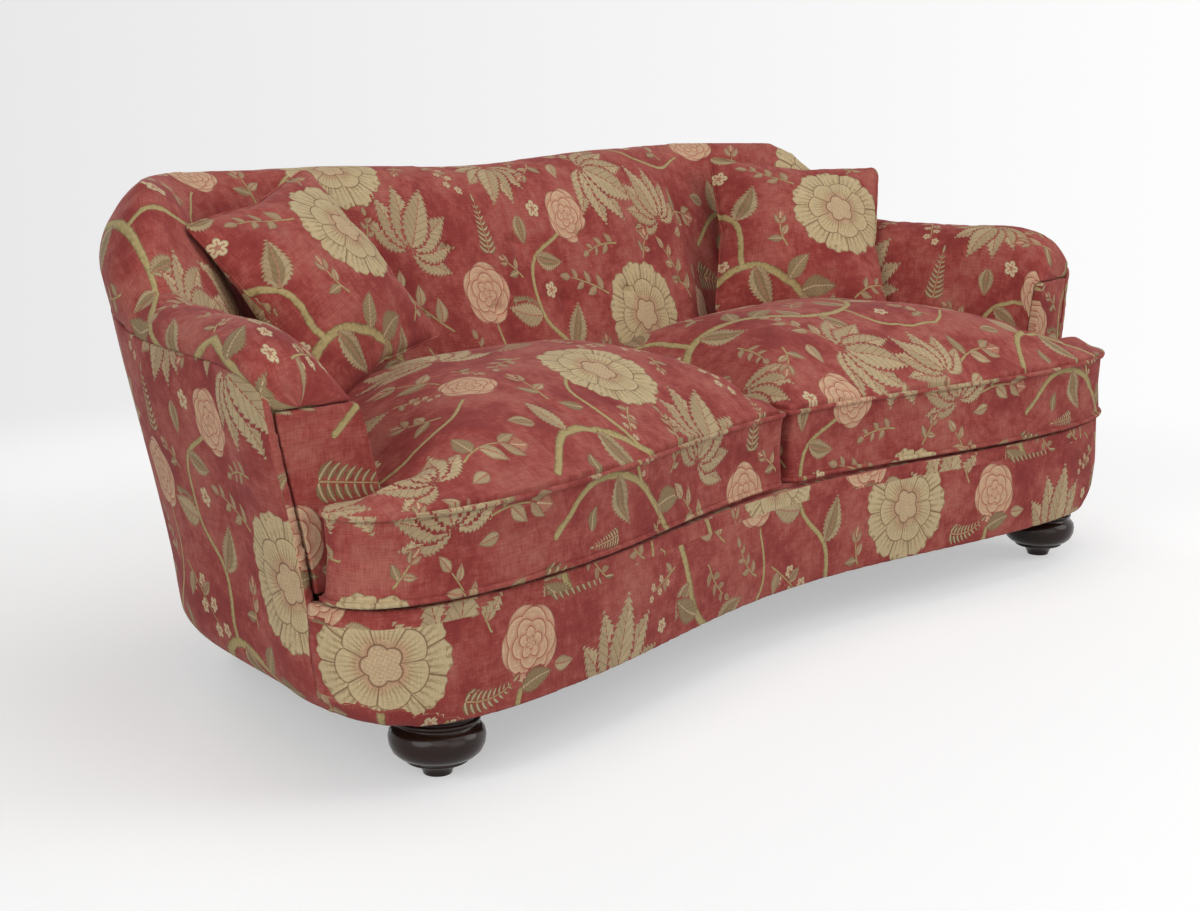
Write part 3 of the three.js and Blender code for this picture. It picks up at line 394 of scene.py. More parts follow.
def budSprig(x, y, angle, length, turn, tone):
    points, last = curvedLine(x, y, angle, length * 0.6, turn)
    stem(points, 0.0022, 0.0014)
    bx, by = points[-1]
    leaf(bx, by, last, length * 0.42, 0.36, 1.4)
    leaf(bx, by, last + 0.42, length * 0.34, 0.2, 0.55, 0.08)
    leaf(bx, by, last - 0.42, length * 0.34, 0.2, 0.4, -0.08)
    leaf(points[2][0], points[2][1], angle + 1.1, length * 0.42, 0.28, 0.7)
    leaf(points[3][0], points[3][1], angle - 1.0, length * 0.36, 0.28, 0.15)


def fern(x, y, angle, length, turn, tone):
    points, last = curvedLine(x, y, angle, length, turn, 9)
    stem(points, 0.0016, 0.0009)
    for k, (px, py) in enumerate(points[:-1]):
        for hand in (-1, 1):
            way = angle + turn * k / 9 + hand * 0.95
            leaf(px, py, way, length * (0.3 - 0.022 * k), 0.2, 0.95, hand * 0.1)
    leaf(*points[-1], last, length * 0.2, 0.24, 0.95)


def layOutPrint():
    # thick winding branches
    for points, thick, thin, samples, first in (
            ([(0, 0.2), (0.1, 0.265), (0.2, 0.235), (0.3, 0.15), (0.42, 0.14), (0.53, 0.21), (0.56, 0.33)],
             0.0095, 0.006, 30, 6),
            ([(0.66, 0.55), (0.76, 0.62), (0.9, 0.59), (1.0, 0.47), (1.06, 0.33), (1.2, 0.25), (1.38, 0.2)],
             0.006, 0.0095, 30, 7),
            ([(0.1, 0.265), (0.09, 0.37), (0.02, 0.45), (0.03, 0.55), (0.12, 0.6)], 0.0065, 0.004, 20, 5)):
        foliage(stem(points, thick, thin, samples), first)
    stem([(0.9, 0.59), (0.86, 0.7), (0.93, 0.78)], 0.005, 0.003)
    stem([(1.2, 0.25), (1.28, 0.33), (1.27, 0.44)], 0.0045, 0.003)
    stem([(0.42, 0.14), (0.47, 0.05), (0.58, 0.02), (0.66, 0.06)], 0.005, 0.003)
    # the large flowers and leaves
    flower(blossomKind, 0.32, 0.41, 0.113, 0.3, 0.2)
    flower(blossomKind, 1.0, 0.08, 0.108, 1.4, 0.25)
    for x, y, radius, angle in ((0.58, 0.4, 0.063, 0.4), (0.16, 0.63, 0.056, 2.0),
                                (1.26, 0.5, 0.062, 1.1), (0.71, 0.1, 0.05, 3.0)):
        flower(roseKind, x, y, radius, angle)
    for x, y, angle, size, tone in ((0.8, 0.27, 1.35, 0.165, 0.1), (0.27, 0.03, -0.6, 0.15, 0.1),
                                    (1.1, 0.59, 1.0, 0.135, 0.2), (0.02, 0.08, -2.0, 0.12, 0.15),
                                    (0.45, 0.6, 1.9, 0.125, 0.1)):
        palmLeaf(x, y, angle, size, tone)
    for x, y, angle, length, tone in ((0.2, 0.235, 0.9, 0.075, 0.7), (0.53, 0.21, -0.4, 0.09, 0.15),
                                      (1.06, 0.33, 2.6, 0.09, 0.8), (0.76, 0.62, 1.9, 0.08, 0.2),
                                      (0.02, 0.45, 2.9, 0.095, 0.2), (1.2, 0.25, -1.0, 0.085, 0.75),
                                      (0.3, 0.15, 1.5, 0.07, 0.3), (0.56, 0.33, 0.2, 0.075, 0.8)):
        leaf(x, y, angle, length, 0.27, tone, 0.06)
        takeUp(x, y, angle, length, 0.5)
    # sprigs fill what is left, each where there is most room
    draws = random.Random(cloth["seed"])
    makers = (twig, berrySprig, budSprig, fern, twig, budSprig)
    for k in range(cloth["fills"]):
        best = max(((draws.uniform(0, cloth["width"]), draws.uniform(0, cloth["height"])) for _ in range(60)),
                   key=lambda spot: roomAt(*spot))
        room = roomAt(*best)
        if room < 0.02:
            break
        length = min(room * 1.9, 0.17)
        angle = draws.uniform(0, math.tau)
        x = best[0] - math.cos(angle) * length / 2
        y = best[1] - math.sin(angle) * length / 2
        if length < 0.062:
            if draws.random() < 0.5:
                flower(floretKind, *best, length * 0.34, angle, draws.uniform(0, 1))
            else:
                leaf(x, y, angle, length, 0.28, draws.choice((0.15, 0.3, 0.8)), draws.uniform(-0.1, 0.1))
        else:
            makers[k % len(makers)](x, y, angle, length, draws.uniform(-0.9, 0.9), draws.uniform(0.1, 0.6))
        taken.append((*best, length * 0.45))


# Leaves along a branch, left and right in turn
def foliage(line, first):
    heading = np.gradient(line, axis=0)
    for number, k in enumerate(range(first, len(line) - 1, 5)):
        hand = 1 if number % 2 else -1
        angle = math.atan2(heading[k, 1], heading[k, 0]) + hand * 0.95
        size = 0.1 * (1 - 0.12 * (number % 3))
        x, y = line[k]
        leaf(x, y, angle, size, 0.27, (0.3, 0.8, 0.32)[number % 3], 0.07 * hand)
        takeUp(x, y, angle, size, 0.42)


def roomAt(x, y):
    return min(math.hypot(wrapped(x - tx, cloth["width"]), wrapped(y - ty, cloth["height"])) - radius
               for tx, ty, radius in taken)


layOutPrint()
print("print laid out:", len(motifs), "motifs and", len(stems), "stems")
motifTable = np.array(motifs)
stemTable = np.array([(*line[k], *line[k + 1], widths[k], widths[k + 1], k == 0, k == len(line) - 2)
                      for line, widths in stems for k in range(len(line) - 1)], float)


# A motif's own coordinates: along and across a leaf, or from the middle of a flower, in its own size
def inMotif(rows, u, v):
    x, y, angle, length, halfWidth, bend = (rows[..., k] for k in range(1, 7))
    dx = wrapped(u - x, cloth["width"])
    dy = wrapped(v - y, cloth["height"])
    lx = (dx * np.cos(angle) + dy * np.sin(angle)) / length
    across = dy * np.cos(angle) - dx * np.sin(angle) - 4 * bend * lx * (1 - lx)
    return lx, across / halfWidth


# How far to one side of a stretch of stem a place lies, in half-widths of the stem
def fromStem(rows, u, v):
    ax, ay, bx, by, wide, narrow, first, last = (rows[..., k] for k in range(8))
    dx = wrapped(u - ax, cloth["width"])
    dy = wrapped(v - ay, cloth["height"])
    rx, ry = bx - ax, by - ay
    share = (dx * rx + dy * ry) / (rx * rx + ry * ry)
    t = np.clip(share, 0, 1)
    side = np.where(rx * dy - ry * dx < 0, -1, 1)
    side = np.where((share < 0) & (first > 0) | (share > 1) & (last > 0), 1, side)
    return side * np.hypot(dx - t * rx, dy - t * ry) / (wide + (narrow - wide) * t)


def wrappedSlices(ordered, order, low, high):
    for shift in (-cloth["width"], 0, cloth["width"]):
        a, b = np.searchsorted(ordered, (low + shift, high + shift))
        if b > a:
            yield order[a:b]


# The motif and the stretch of stem that each face shows, by the face's middle; -1 where there is none
def pickPrint(u, v):
    order = np.argsort(u)
    ordered = u[order]
    reach, inside = cloth["reach"], cloth["inside"]
    motifHere = np.full(len(u), -1)
    nearest = np.full(len(u), reach)
    for number, row in enumerate(motifTable):
        kind, x, y, angle, length, halfWidth = row[:6]
        span = length + reach
        for near in wrappedSlices(ordered, order, x % cloth["width"] - span, x % cloth["width"] + span):
            lx, ly = inMotif(row, u[near], v[near])
            if kind == leafKind:
                bulge = np.sin(math.pi * np.clip(lx, 0, 1) ** 0.75)
                edge = np.maximum.reduce([(np.abs(ly) - bulge) * halfWidth, (lx - 1) * length, -lx * length])
            else:
                edge = (np.hypot(lx, ly) - 1) * length - (0 if kind == floretKind else cloth["flowersFirst"])
            better = (edge < inside) | (edge < nearest[near])
            nearest[near[better]] = np.where(edge[better] > inside, edge[better], np.minimum(edge[better], 0))
            motifHere[near[better]] = number
    stemHere = np.full(len(u), -1)
    nearest = np.full(len(u), cloth["noStem"])
    for number, row in enumerate(stemTable):
        low, high = sorted((row[0], row[2]))
        shift = low - low % cloth["width"]
        for near in wrappedSlices(ordered, order, low - shift - reach, high - shift + reach):
            away = np.abs(fromStem(row, u[near], v[near]))
            better = away < nearest[near]
            nearest[near[better]] = away[better]
            stemHere[near[better]] = number
    return motifHere, stemHere


# The same for places whose nearest stretch is known, also looking at its neighbours
def acrossStem(number, u, v):
    best = np.full(len(number), cloth["noStem"])
    for step in (-1, 0, 1):
        other = np.clip(number + step, 0, len(stemTable) - 1)
        sameStem = stemTable[np.maximum(number, other), 6] == 0 if step else np.full(len(number), True)
        away = fromStem(stemTable[other], u, v)
        best = np.where(sameStem & (np.abs(away) < np.abs(best)), away, best)
    return best


# Writes the cloth's coordinates and print on a mesh. Each patch is a mask of faces with its own coordinates.
# All corners of a face get one motif's coordinates, so that nothing is blended between two motifs.
def printOn(mesh, patches):
    corners = np.zeros(len(mesh.loops), np.int32)
    mesh.loops.foreach_get("vertex_index", corners)
    totals = np.zeros(len(mesh.polygons), np.int32)
    mesh.polygons.foreach_get("loop_total", totals)
    faceOfCorner = np.repeat(np.arange(len(totals)), totals)
    spots = np.zeros((len(corners), 2))
    for mask, coordinates in patches:
        chosen = mask[faceOfCorner]
        spots[chosen] = coordinates[corners[chosen]]
    starts = np.concatenate([[0], np.cumsum(totals)[:-1]])
    middles = np.add.reduceat(spots, starts, axis=0) / totals[:, None]
    u, v = (spots % (cloth["width"], cloth["height"])).T
    middleU, middleV = (middles % (cloth["width"], cloth["height"])).T
    motifOfFace, stemOfFace = pickPrint(middleU, middleV)
    motifHere, stemHere = motifOfFace[faceOfCorner], stemOfFace[faceOfCorner]
    place, kinds, tone = (np.zeros((len(corners), 3)) for _ in range(3))
    found = motifHere >= 0
    rows = motifTable[motifHere[found]]
    lx, ly = inMotif(rows, u[found], v[found])
    place[found] = np.stack([lx, ly, rows[:, 5]], axis=1)
    kinds[found] = rows[:, :1] == (roseKind, blossomKind, floretKind)
    tone[found, 0] = rows[:, 7]
    found = stemHere >= 0
    across = np.full(len(corners), cloth["noStem"])
    across[found] = acrossStem(stemHere[found], u[found], v[found])
    found = stemOfFace >= 0
    middleAcross = np.full(len(totals), cloth["noStem"])
    middleAcross[found] = acrossStem(stemOfFace[found], middleU[found], middleV[found])
    mean = np.add.reduceat(across, starts) / totals
    uneven = np.abs(np.abs(mean) - np.abs(middleAcross)) > 0.35
    tone[:, 1] = np.where(uneven[faceOfCorner], np.abs(across), across)
    layer = mesh.uv_layers.new(name="cloth")
    layer.data.foreach_set("uv", spots.astype(np.float32).ravel())
    for name, values in (("motifPlace", place), ("motifKind", kinds), ("motifTone", tone)):
        attribute = mesh.attributes.new(name, "FLOAT_VECTOR", "CORNER")
        attribute.data.foreach_set("vector", values.astype(np.float32).ravel())


def printAll(mesh, coordinates):
    printOn(mesh, [(np.ones(len(mesh.polygons), bool), coordinates)])


# Padded pieces: the frame's solid is remeshed, eased between its seams, filled like a bag and subdivided
stuffing = {
    "seamAngle": math.radians(50),     # edges of the solid that turn more than this are sewn seams
    "seamStep": 0.004,
    "snap": 1.6,
    "crisp": 0.001,
    "settings": {"quality": 5, "mass": 0.3, "tension_stiffness": 12, "compression_stiffness": 12,
                 "shear_stiffness": 6, "bending_stiffness": 0.6, "use_pressure": True,
                 "uniform_pressure_force": 4, "pin_stiffness": 1},
    "frames": 14,
}


def seamTree(shape):
    spots = []
    for edge in shape.edges:
        if edge.is_manifold and edge.calc_face_angle() > stuffing["seamAngle"]:
            a, b = (v.co for v in edge.verts)
            steps = max(1, int((a - b).length / stuffing["seamStep"]))
            spots.extend(a.lerp(b, k / steps) for k in range(steps + 1))
    tree = kdtree.KDTree(max(len(spots), 1))
    for k, spot in enumerate(spots):
        tree.insert(spot, k)
    tree.balance()
    return tree, bool(spots)


def fromSeams(seams, places):
    tree, found = seams
    if not found:
        return np.full(len(places), 1.0), places
    nearest = [tree.find(spot) for spot in places]
    return np.array([distance for _, _, distance in nearest]), np.array([spot for spot, _, _ in nearest])


def fillLikeABag(piece, away, sizes):
    mesh = piece.data
    before = vertexPlaces(mesh)
    group = piece.vertex_groups.new(name="sewn")
    weights = np.clip(1 - (away - sizes["sewn"]) / sizes["sewnFade"], 0, 1)
    for level in range(1, 11):
        chosen = np.nonzero(np.ceil(weights * 10) == level)[0]
        group.add([int(k) for k in chosen], level / 10, "REPLACE")
    filling = piece.modifiers.new("filling", "CLOTH")
    for setting, value in stuffing["settings"].items():
        setattr(filling.settings, setting, value)
    filling.settings.shrink_min = filling.settings.shrink_max = -sizes["slack"]
    filling.settings.vertex_group_mass = "sewn"
    filling.settings.effector_weights.gravity = 0
    filling.collision_settings.use_collision = False
    filling.point_cache.frame_start = 1
    filling.point_cache.frame_end = stuffing["frames"]
    for number in range(1, stuffing["frames"] + 1):
        scene.frame_set(number)
    moved = vertexPlaces(finalMesh(piece)) - before
    far = np.linalg.norm(moved, axis=1)
    moved *= np.minimum(1, sizes["cap"] / np.maximum(far, tiny))[:, None]
    moved *= (1 - weights)[:, None]
    piece.modifiers.clear()
    piece.vertex_groups.clear()
    scene.frame_set(1)
    setVertexPlaces(mesh, before + moved)


def upholster(name, sources, sizes):
    shape = shapeOfNodes(sources)
    seams = seamTree(shape)
    piece = objectFromBmesh(name, shape)
    remesh = piece.modifiers.new("remesh", "REMESH")
    remesh.mode = "VOXEL"
    remesh.voxel_size = sizes["voxel"]
    applyModifiers(piece)
    before = vertexPlaces(piece.data)
    away, seamSpots = fromSeams(seams, before)
    easing = piece.modifiers.new("easing", "SMOOTH")
    easing.factor = 0.5
    easing.iterations = sizes["easing"]
    applyModifiers(piece)
    eased = vertexPlaces(piece.data)
    share = np.clip((away - stuffing["crisp"]) / sizes["crispFade"], 0, 1)[:, None]
    snap = np.clip(stuffing["snap"] * (1 - away / sizes["voxel"]), 0, 1)[:, None]
    onSeams = before + (seamSpots - before) * snap
    setVertexPlaces(piece.data, onSeams + (eased - before) * share)
    if sizes.get("cap"):
        fillLikeABag(piece, away, sizes)
    if sizes.get("fine", True):
        finer = piece.modifiers.new("finer", "SUBSURF")
        finer.levels = finer.render_levels = 1
        applyModifiers(piece)
    shade(piece.data)
    print(name, len(piece.data.polygons), "faces")
    return piece


# Printed linen: plain-woven linen, hand-blocked look. Matt, slightly slubby, the red ground washed unevenly.
linenColors = {
    "ground": "#9d453f", "deep": "#812f2d", "worn": "#b1695c",
    "beige": "#cab58f", "olive": "#7a6847", "redLine": "#a2483f", "hatch": "#a28862", "pale": "#cfbc96",
    "rose": "#d2b08e", "roseDeep": "#b66a5a", "blossom": "#c7b28a", "blossomHatch": "#9d845d",
    "heart": "#b57863", "outline": "#77523c", "stem": "#b3a06f", "stemShade": "#8a7b4b",
    "bud": "#c07a68",
}
linen = {
    "surface": {"Roughness": 0.88, "Sheen Weight": 0.05, "Sheen Roughness": 0.6, "Specular IOR Level": 0.15},
    "thread": 0.0017,     # real threads are about 0.7 mm; drawn as coarse as they need to show
    "slub": 0.06,         # along a thread, its thickness changes this much more slowly than across
    "threadGain": (0.8, 1.2),
    "mottle": 8.0,        # washed patches about 120 mm across, and clouds a fifth of that
    "bump": 0.3,
    "bumpDepth": 0.0006,
    "ragged": 160.0,      # the printed edge wavers every 6 mm or so
}
# The sums that draw the cloth, one after another: a name, its operation, and numbers or earlier names
signs = {
    "+": "ADD", "-": "SUBTRACT", "*": "MULTIPLY", "*+": "MULTIPLY_ADD", "<": "LESS_THAN", ">": "GREATER_THAN",
}
groundSums = (
    "weave + warp weft; weaveLow - weave 1; patchOff - patch 0.5; cloudOff - cloud 0.5; "
    "cloudDeep * cloudOff -1.3; deepSum *+ patchOff -4.2 cloudDeep; deepShare + deepSum 0.08; "
    "deepClamp maximum deepShare 0; deepFactor minimum deepClamp 0.85; cloudWorn * cloudOff 1.9; "
    "wornSum *+ patchOff 3.4 cloudWorn; wornShare *+ weaveLow 0.7 wornSum; wornMore + wornShare 0.16; "
    "wornClamp maximum wornMore 0; wornFactor minimum wornClamp 0.85"
)
printSums = (
    # leaf: outline, teeth, veins, hatching
    "x0 maximum lx 0; x1 minimum x0 1; xPower power x1 0.75; xTurn * xPower pi; half sine xTurn; "
    "ay absolute ly; teethRun * lx 13; teeth fract teethRun; leafRaw - ay half; "
    "leafTooth *+ teeth 0.22 leafRaw; leafSide * leafTooth size; pastTip - lx 1; pastBase * lx -1; "
    "pastEnd maximum pastTip pastBase; endEdge *+ pastEnd 0.06 0.0012; leafEdge maximum leafSide endEdge; "
    "offRib * ay size; ribWide *+ lx -0.0011 0.0019; rib < offRib ribWide; dash < teeth 0.72; "
    "notTip < lx 0.86; ribDash * rib dash; ribFactor * ribDash notTip; veinRun *+ ay -0.26 lx; "
    "veinScaled * veinRun 8; veinPart fract veinScaled; vein < veinPart 0.11; hatchRun * veinRun 37; "
    "hatchPart fract hatchRun; hatchLine < hatchPart 0.45; shadeSide > ly 0; heartOffLeaf *+ half -0.5 ay; "
    "heartIn < heartOffLeaf -0.1; toneNear compare tone 0.31 0.03; heartTone * heartIn toneNear; "
    "budTone > tone 1.2; leafTone minimum tone 1; "
    # polar coordinates of the flowers
    "yy * ly ly; rr *+ lx lx yy; r sqrt rr; turn arctan2 ly lx; turn25 * turn 2.5; "
    # rose: rings of overlapping petals
    "g * r 4.2; ring floor g; petalTurn *+ ring 1.9 turn25; petalSine sine petalTurn; "
    "petalRound absolute petalSine; gPetal *+ petalRound -0.62 g; gPart fract gPetal; "
    "roseLine < gPart 0.13; roseFadeRaw - 0.85 gPart; roseFadeClamp maximum roseFadeRaw 0; "
    "lobeTurn + turn25 0.7; lobeSine sine lobeTurn; lobe absolute lobeSine; roseRadius *+ lobe 0.1 0.88; "
    "roseRaw - r roseRadius; roseEdge * roseRaw size; "
    # blossom: two rings of scalloped petals round a seeded heart
    "turn55 * turn 5.5; outerSine sine turn55; outerRound absolute outerSine; outerSoft sqrt outerRound; "
    "fringeRun * turn 28; fringeSine sine fringeRun; outerRadius *+ outerSoft 0.1 0.87; "
    "outerFringe *+ fringeSine 0.016 outerRadius; blossomRaw - r outerFringe; "
    "blossomEdge * blossomRaw size; innerTurn *+ turn 3.5 0.8; innerSine sine innerTurn; "
    "innerRound absolute innerSine; innerSoft sqrt innerRound; innerRadius *+ innerSoft 0.12 0.52; "
    "innerOff - r innerRadius; innerNear absolute innerOff; innerLine < innerNear 0.011; "
    "heartReach *+ lobe 0.07 0.22; heartOff - r heartReach; heartNear absolute heartOff; "
    "heartLine < heartNear 0.014; inHeart < heartOff 0; inInner < innerOff 0; notInner - 1 inInner; "
    "outerCut < outerRound 0.09; outerSplit * outerCut notInner; innerCut < innerRound 0.08; "
    "innerSplitAll * innerCut inInner; notHeart - 1 inHeart; innerSplit * innerSplitAll notHeart; "
    "linesA maximum innerLine heartLine; linesB maximum outerSplit innerSplit; "
    "blossomLines maximum linesA linesB; rayBend * ragged 5; rayRun *+ turn 47 rayBend; "
    "raySine sine rayRun; rays > raySine 0.25; innerShade * innerOff -3.4; innerWave fract innerShade; "
    "petalBase * innerWave rays; baseOver *+ heartOff -3.6 0.62; baseClamp maximum baseOver 0; "
    "baseFactor minimum baseClamp 0.7; seedX * lx 85; seedY * ly 85; seedSineX sine seedX; "
    "seedSineY sine seedY; seedBoth * seedSineX seedSineY; seed > seedBoth 0.3; seedAll * seed inHeart; "
    # floret: five round petals
    "floretSine sine turn25; floretRound absolute floretSine; floretSoft sqrt floretRound; "
    "floretRadius *+ floretSoft 0.5 0.45; floretRaw - r floretRadius; floretEdge * floretRaw size; "
    "floretHeart < r 0.26; floretStreak > floretRound 0.93; floretInside < r 0.62; "
    "floretStreaks * floretStreak floretInside; floretMarks maximum floretHeart floretStreaks; "
    # which motif, and how far inside its outline
    "flowerSum + isRose isBlossom; flowerAll + flowerSum isFloret; isLeaf - 1 flowerAll; "
    "edgeB * roseEdge isRose; edgeD * floretEdge isFloret; edgeAB *+ leafEdge isLeaf edgeB; "
    "edgeCD *+ blossomEdge isBlossom edgeD; edgeAll + edgeAB edgeCD; raggedLow - ragged 0.5; "
    "edge *+ raggedLow 0.0022 edgeAll; there > size 0.0008; insideEdge < edge 0; motif * insideEdge there; "
    "nearEdge > edge -0.0014; stemPlain absolute stemAcross; stemAway *+ raggedLow 0.5 stemPlain; "
    "stemHere < stemAway 1; stemRim > stemAway 0.76; bark * raggedLow 2.4; stemBark *+ stemAcross 0.6 bark; "
    "stemShadow maximum stemBark 0; stemTone minimum stemShadow 0.85"
)
# The colours laid over one another: a name, the share of the second colour, the two colours, a strength
groundMixes = (
    "groundDeep deepFactor ground deep; color wornFactor groundDeep worn"
)
printMixes = (
    "leafBase leafTone beige olive; leafDark heartTone leafBase olive 0.75; leafBud budTone leafDark bud; "
    "leafShade shadeSide leafBud outline 0.22; leafHatch hatchLine leafShade hatch 0.5; "
    "veinColor leafTone redLine pale; leafVein vein leafHatch outline 0.55; "
    "leafColor ribFactor leafVein veinColor; roseShade roseFadeClamp rose roseDeep 0.75; "
    "roseColor roseLine roseShade redLine 0.75; blossomBase baseFactor blossom heart; "
    "blossomRay petalBase blossomBase blossomHatch 0.85; blossomHeart inHeart blossomRay beige 0.55; "
    "blossomSeed seedAll blossomHeart pale 0.6; blossomColor blossomLines blossomSeed outline 0.75; "
    "floretColor floretMarks pale redLine 0.7; pickRose isRose leafColor roseColor; "
    "pickBlossom isBlossom pickRose blossomColor; pickFloret isFloret pickBlossom floretColor; "
    "motifColor nearEdge pickFloret outline 0.6; stemBody stemTone stem stemShade; "
    "stemColor stemRim stemBody outline 0.7; withStem stemHere color stemColor; "
    "color motif withStem motifColor"
)


def tableRows(*tables):
    return [row.split() for table in tables if table for row in table.split("; ")]


def clothLook(name, printed):
    look, tree, shader = newMaterial(name, linen["surface"])
    known = {"pi": math.pi}
    uv = addNode(tree, "ShaderNodeUVMap", uv_map="cloth").outputs[0] if printed else \
        addNode(tree, "ShaderNodeTexCoord").outputs["Object"]
    for key, value in linenColors.items():
        known[key] = addNode(tree, "ShaderNodeRGB").outputs[0]
        known[key].default_value = linearColor(value)
    # threads both ways, thick and thin, then washed patches and the clouds in them
    thread, thin, patch = 1 / linen["thread"], linen["slub"] / linen["thread"], linen["mottle"]
    for key, scale, detail, rough in (("warp", (thread, thin, thin), 2, 0.6),
                                      ("weft", (thin, thread, thin), 2, 0.6),
                                      ("patch", [patch] * 3, 5, 0.62), ("cloud", [patch * 6] * 3, 4, 0.7)):
        grid = addNode(tree, "ShaderNodeMapping", {"Vector": uv, "Scale": scale}).outputs[0]
        noise = {"Vector": grid, "Scale": 1, "Detail": detail, "Roughness": rough}
        known[key] = addNode(tree, "ShaderNodeTexNoise", noise).outputs["Fac"]
    if printed:
        for source, names in (("motifPlace", ("lx", "ly", "size")),
                              ("motifKind", ("isRose", "isBlossom", "isFloret")),
                              ("motifTone", ("tone", "stemAcross"))):
            vector = addNode(tree, "ShaderNodeAttribute", attribute_name=source).outputs["Vector"]
            known.update(zip(names, addNode(tree, "ShaderNodeSeparateXYZ", {0: vector}).outputs))
        known["ragged"] = addNode(tree, "ShaderNodeTexNoise", {"Vector": uv, "Scale": linen["ragged"],
                                                               "Detail": 2}).outputs["Fac"]
    for key, sign, *values in tableRows(groundSums, printed and printSums):
        inputs = {k: known[v] if v in known else float(v) for k, v in enumerate(values)}
        operation = signs.get(sign, sign.upper())
        known[key] = addNode(tree, "ShaderNodeMath", inputs, operation=operation).outputs[0]
    for key, share, a, b, *strength in tableRows(groundMixes, printed and printMixes):
        share = known[share]
        if strength:
            part = addNode(tree, "ShaderNodeMath", {0: share, 1: float(*strength)}, operation="MULTIPLY")
            share = part.outputs[0]
        inputs = {0: share, 6: known[a], 7: known[b]}
        known[key] = addNode(tree, "ShaderNodeMix", inputs, data_type="RGBA").outputs[2]
    thin, thick = linen["threadGain"]
    gain = addNode(tree, "ShaderNodeMapRange", {0: known["weaveLow"], 1: -0.35, 2: 0.35, 3: thin, 4: thick})
    shaded = addNode(tree, "ShaderNodeVectorMath", {0: known["color"], 3: gain.outputs[0]}, operation="SCALE")
    tree.links.new(shaded.outputs[0], shader.inputs["Base Color"])
    bump = addNode(tree, "ShaderNodeBump", {"Height": known["weave"], "Strength": linen["bump"],
                                             "Distance": linen["bumpDepth"]})
    tree.links.new(bump.outputs[0], shader.inputs["Normal"])
    return look


printedLinen = clothLook("printed linen", True)
printedPiping = clothLook("printed linen piping", True)
plainLinen = clothLook("plain linen lining", False)
print("cloth ready")

# Upholstery, from the inside out
pads = {
    "inside_back": {"voxel": 0.0115, "easing": 9, "crispFade": 0.02, "sewn": 0.004, "sewnFade": 0.05,
                    "slack": 0.012, "cap": 0.007, "fill": 0.8},
    "inside_arm": {"voxel": 0.0085, "easing": 10, "crispFade": 0.018, "sewn": 0.004, "sewnFade": 0.04,
                   "slack": 0.01, "cap": 0.005, "fill": 0.8},
    "arm_front": {"voxel": 0.007, "easing": 8, "crispFade": 0.014, "sewn": 0.003, "sewnFade": 0.03,
                  "slack": 0.005, "cap": 0.003, "fill": 0.9},
    "outside_arm": {"voxel": 0.0055, "easing": 14, "crispFade": 0.02, "fine": False, "fill": 0.95},
    "outside_back": {"voxel": 0.0058, "easing": 14, "crispFade": 0.02, "fine": False, "fill": 0.95},
    "front_border": {"voxel": 0.006, "easing": 10, "crispFade": 0.014, "fine": False, "fill": 0.9},
}
tufts = {
    "pitch": 0.19, "heights": (0.692, 0.572), "reach": 4, "span": 0.12, "depth": 0.012, "radius": 0.012,
    "pucker": 0.003, "puckerRadius": 0.045,
}


def insideBack():
    sizes = pads["inside_back"]
    piece = upholster("insideBack", ["inside_back"], sizes)
    places = vertexPlaces(piece.data)
    run, out = alongLine(wallFacts, places)
    run = run - wallHalf
    last = wall["samples"] - 1
    k = np.clip(((run + wallHalf) / (2 * wallHalf) * last).astype(int), 0, last)
    outward = wallFacts["outward"][k]
    facing = out < -0.02
    for row, height in enumerate(tufts["heights"]):
        for number in range(-tufts["reach"], tufts["reach"] + 1):
            spot = (number + row % 2 * 0.5) * tufts["pitch"]
            dx, dz = run - spot, places[:, 2] - height
            away = np.hypot(dx, dz)
            near = facing & (away < tufts["span"])
            folds = np.abs(np.cos(np.arctan2(dz[near], dx[near]) * 2 + 0.5)) ** 6
            pull = tufts["depth"] * np.exp(-(away[near] / tufts["radius"]) ** 2)
            pull += tufts["pucker"] * np.exp(-(away[near] / tufts["puckerRadius"]) ** 2) * folds
            places[near, :2] += outward[near] * pull[:, None]
    setVertexPlaces(piece.data, places)
    printAll(piece.data, overRoll(places))
    finishPiece(piece, "sofa_frame", printedLinen, ["inside_back"])


# Each arm's cloth runs in one piece up the inside and over the roll to the outside seam
def armPieces(hand):
    parts = (
        ("InsideArm", "inside_arm", ["arm_roll", "inside_arm"], overRoll),
        ("ArmFront", "arm_front", ["arm_front"], fromFront),
        ("OutsideArm", "outside_arm", ["outside_arm"], downWall),
    )
    for part, kind, sources, clothAt in parts:
        sizes = pads[kind]
        sources = [f"{hand}_{source}" for source in sources]
        piece = upholster(hand + part, sources, sizes)
        places = vertexPlaces(piece.data)
        turnedIn = (vectorsOf(piece.data.polygons, "normal")[:, 1] < -0.6) & (part == "OutsideArm")
        printOn(piece.data, [(~turnedIn, clothAt(places)), (turnedIn, fromFront(places))])
        finishPiece(piece, "sofa_frame", printedLinen, sources)


insideBack()
for hand, _ in hands:
    armPieces(hand)
piece = upholster("outsideBack", ["outside_back"], pads["outside_back"])
printAll(piece.data, downWall(vertexPlaces(piece.data)))
finishPiece(piece, "sofa_frame", printedLinen, ["outside_back"])
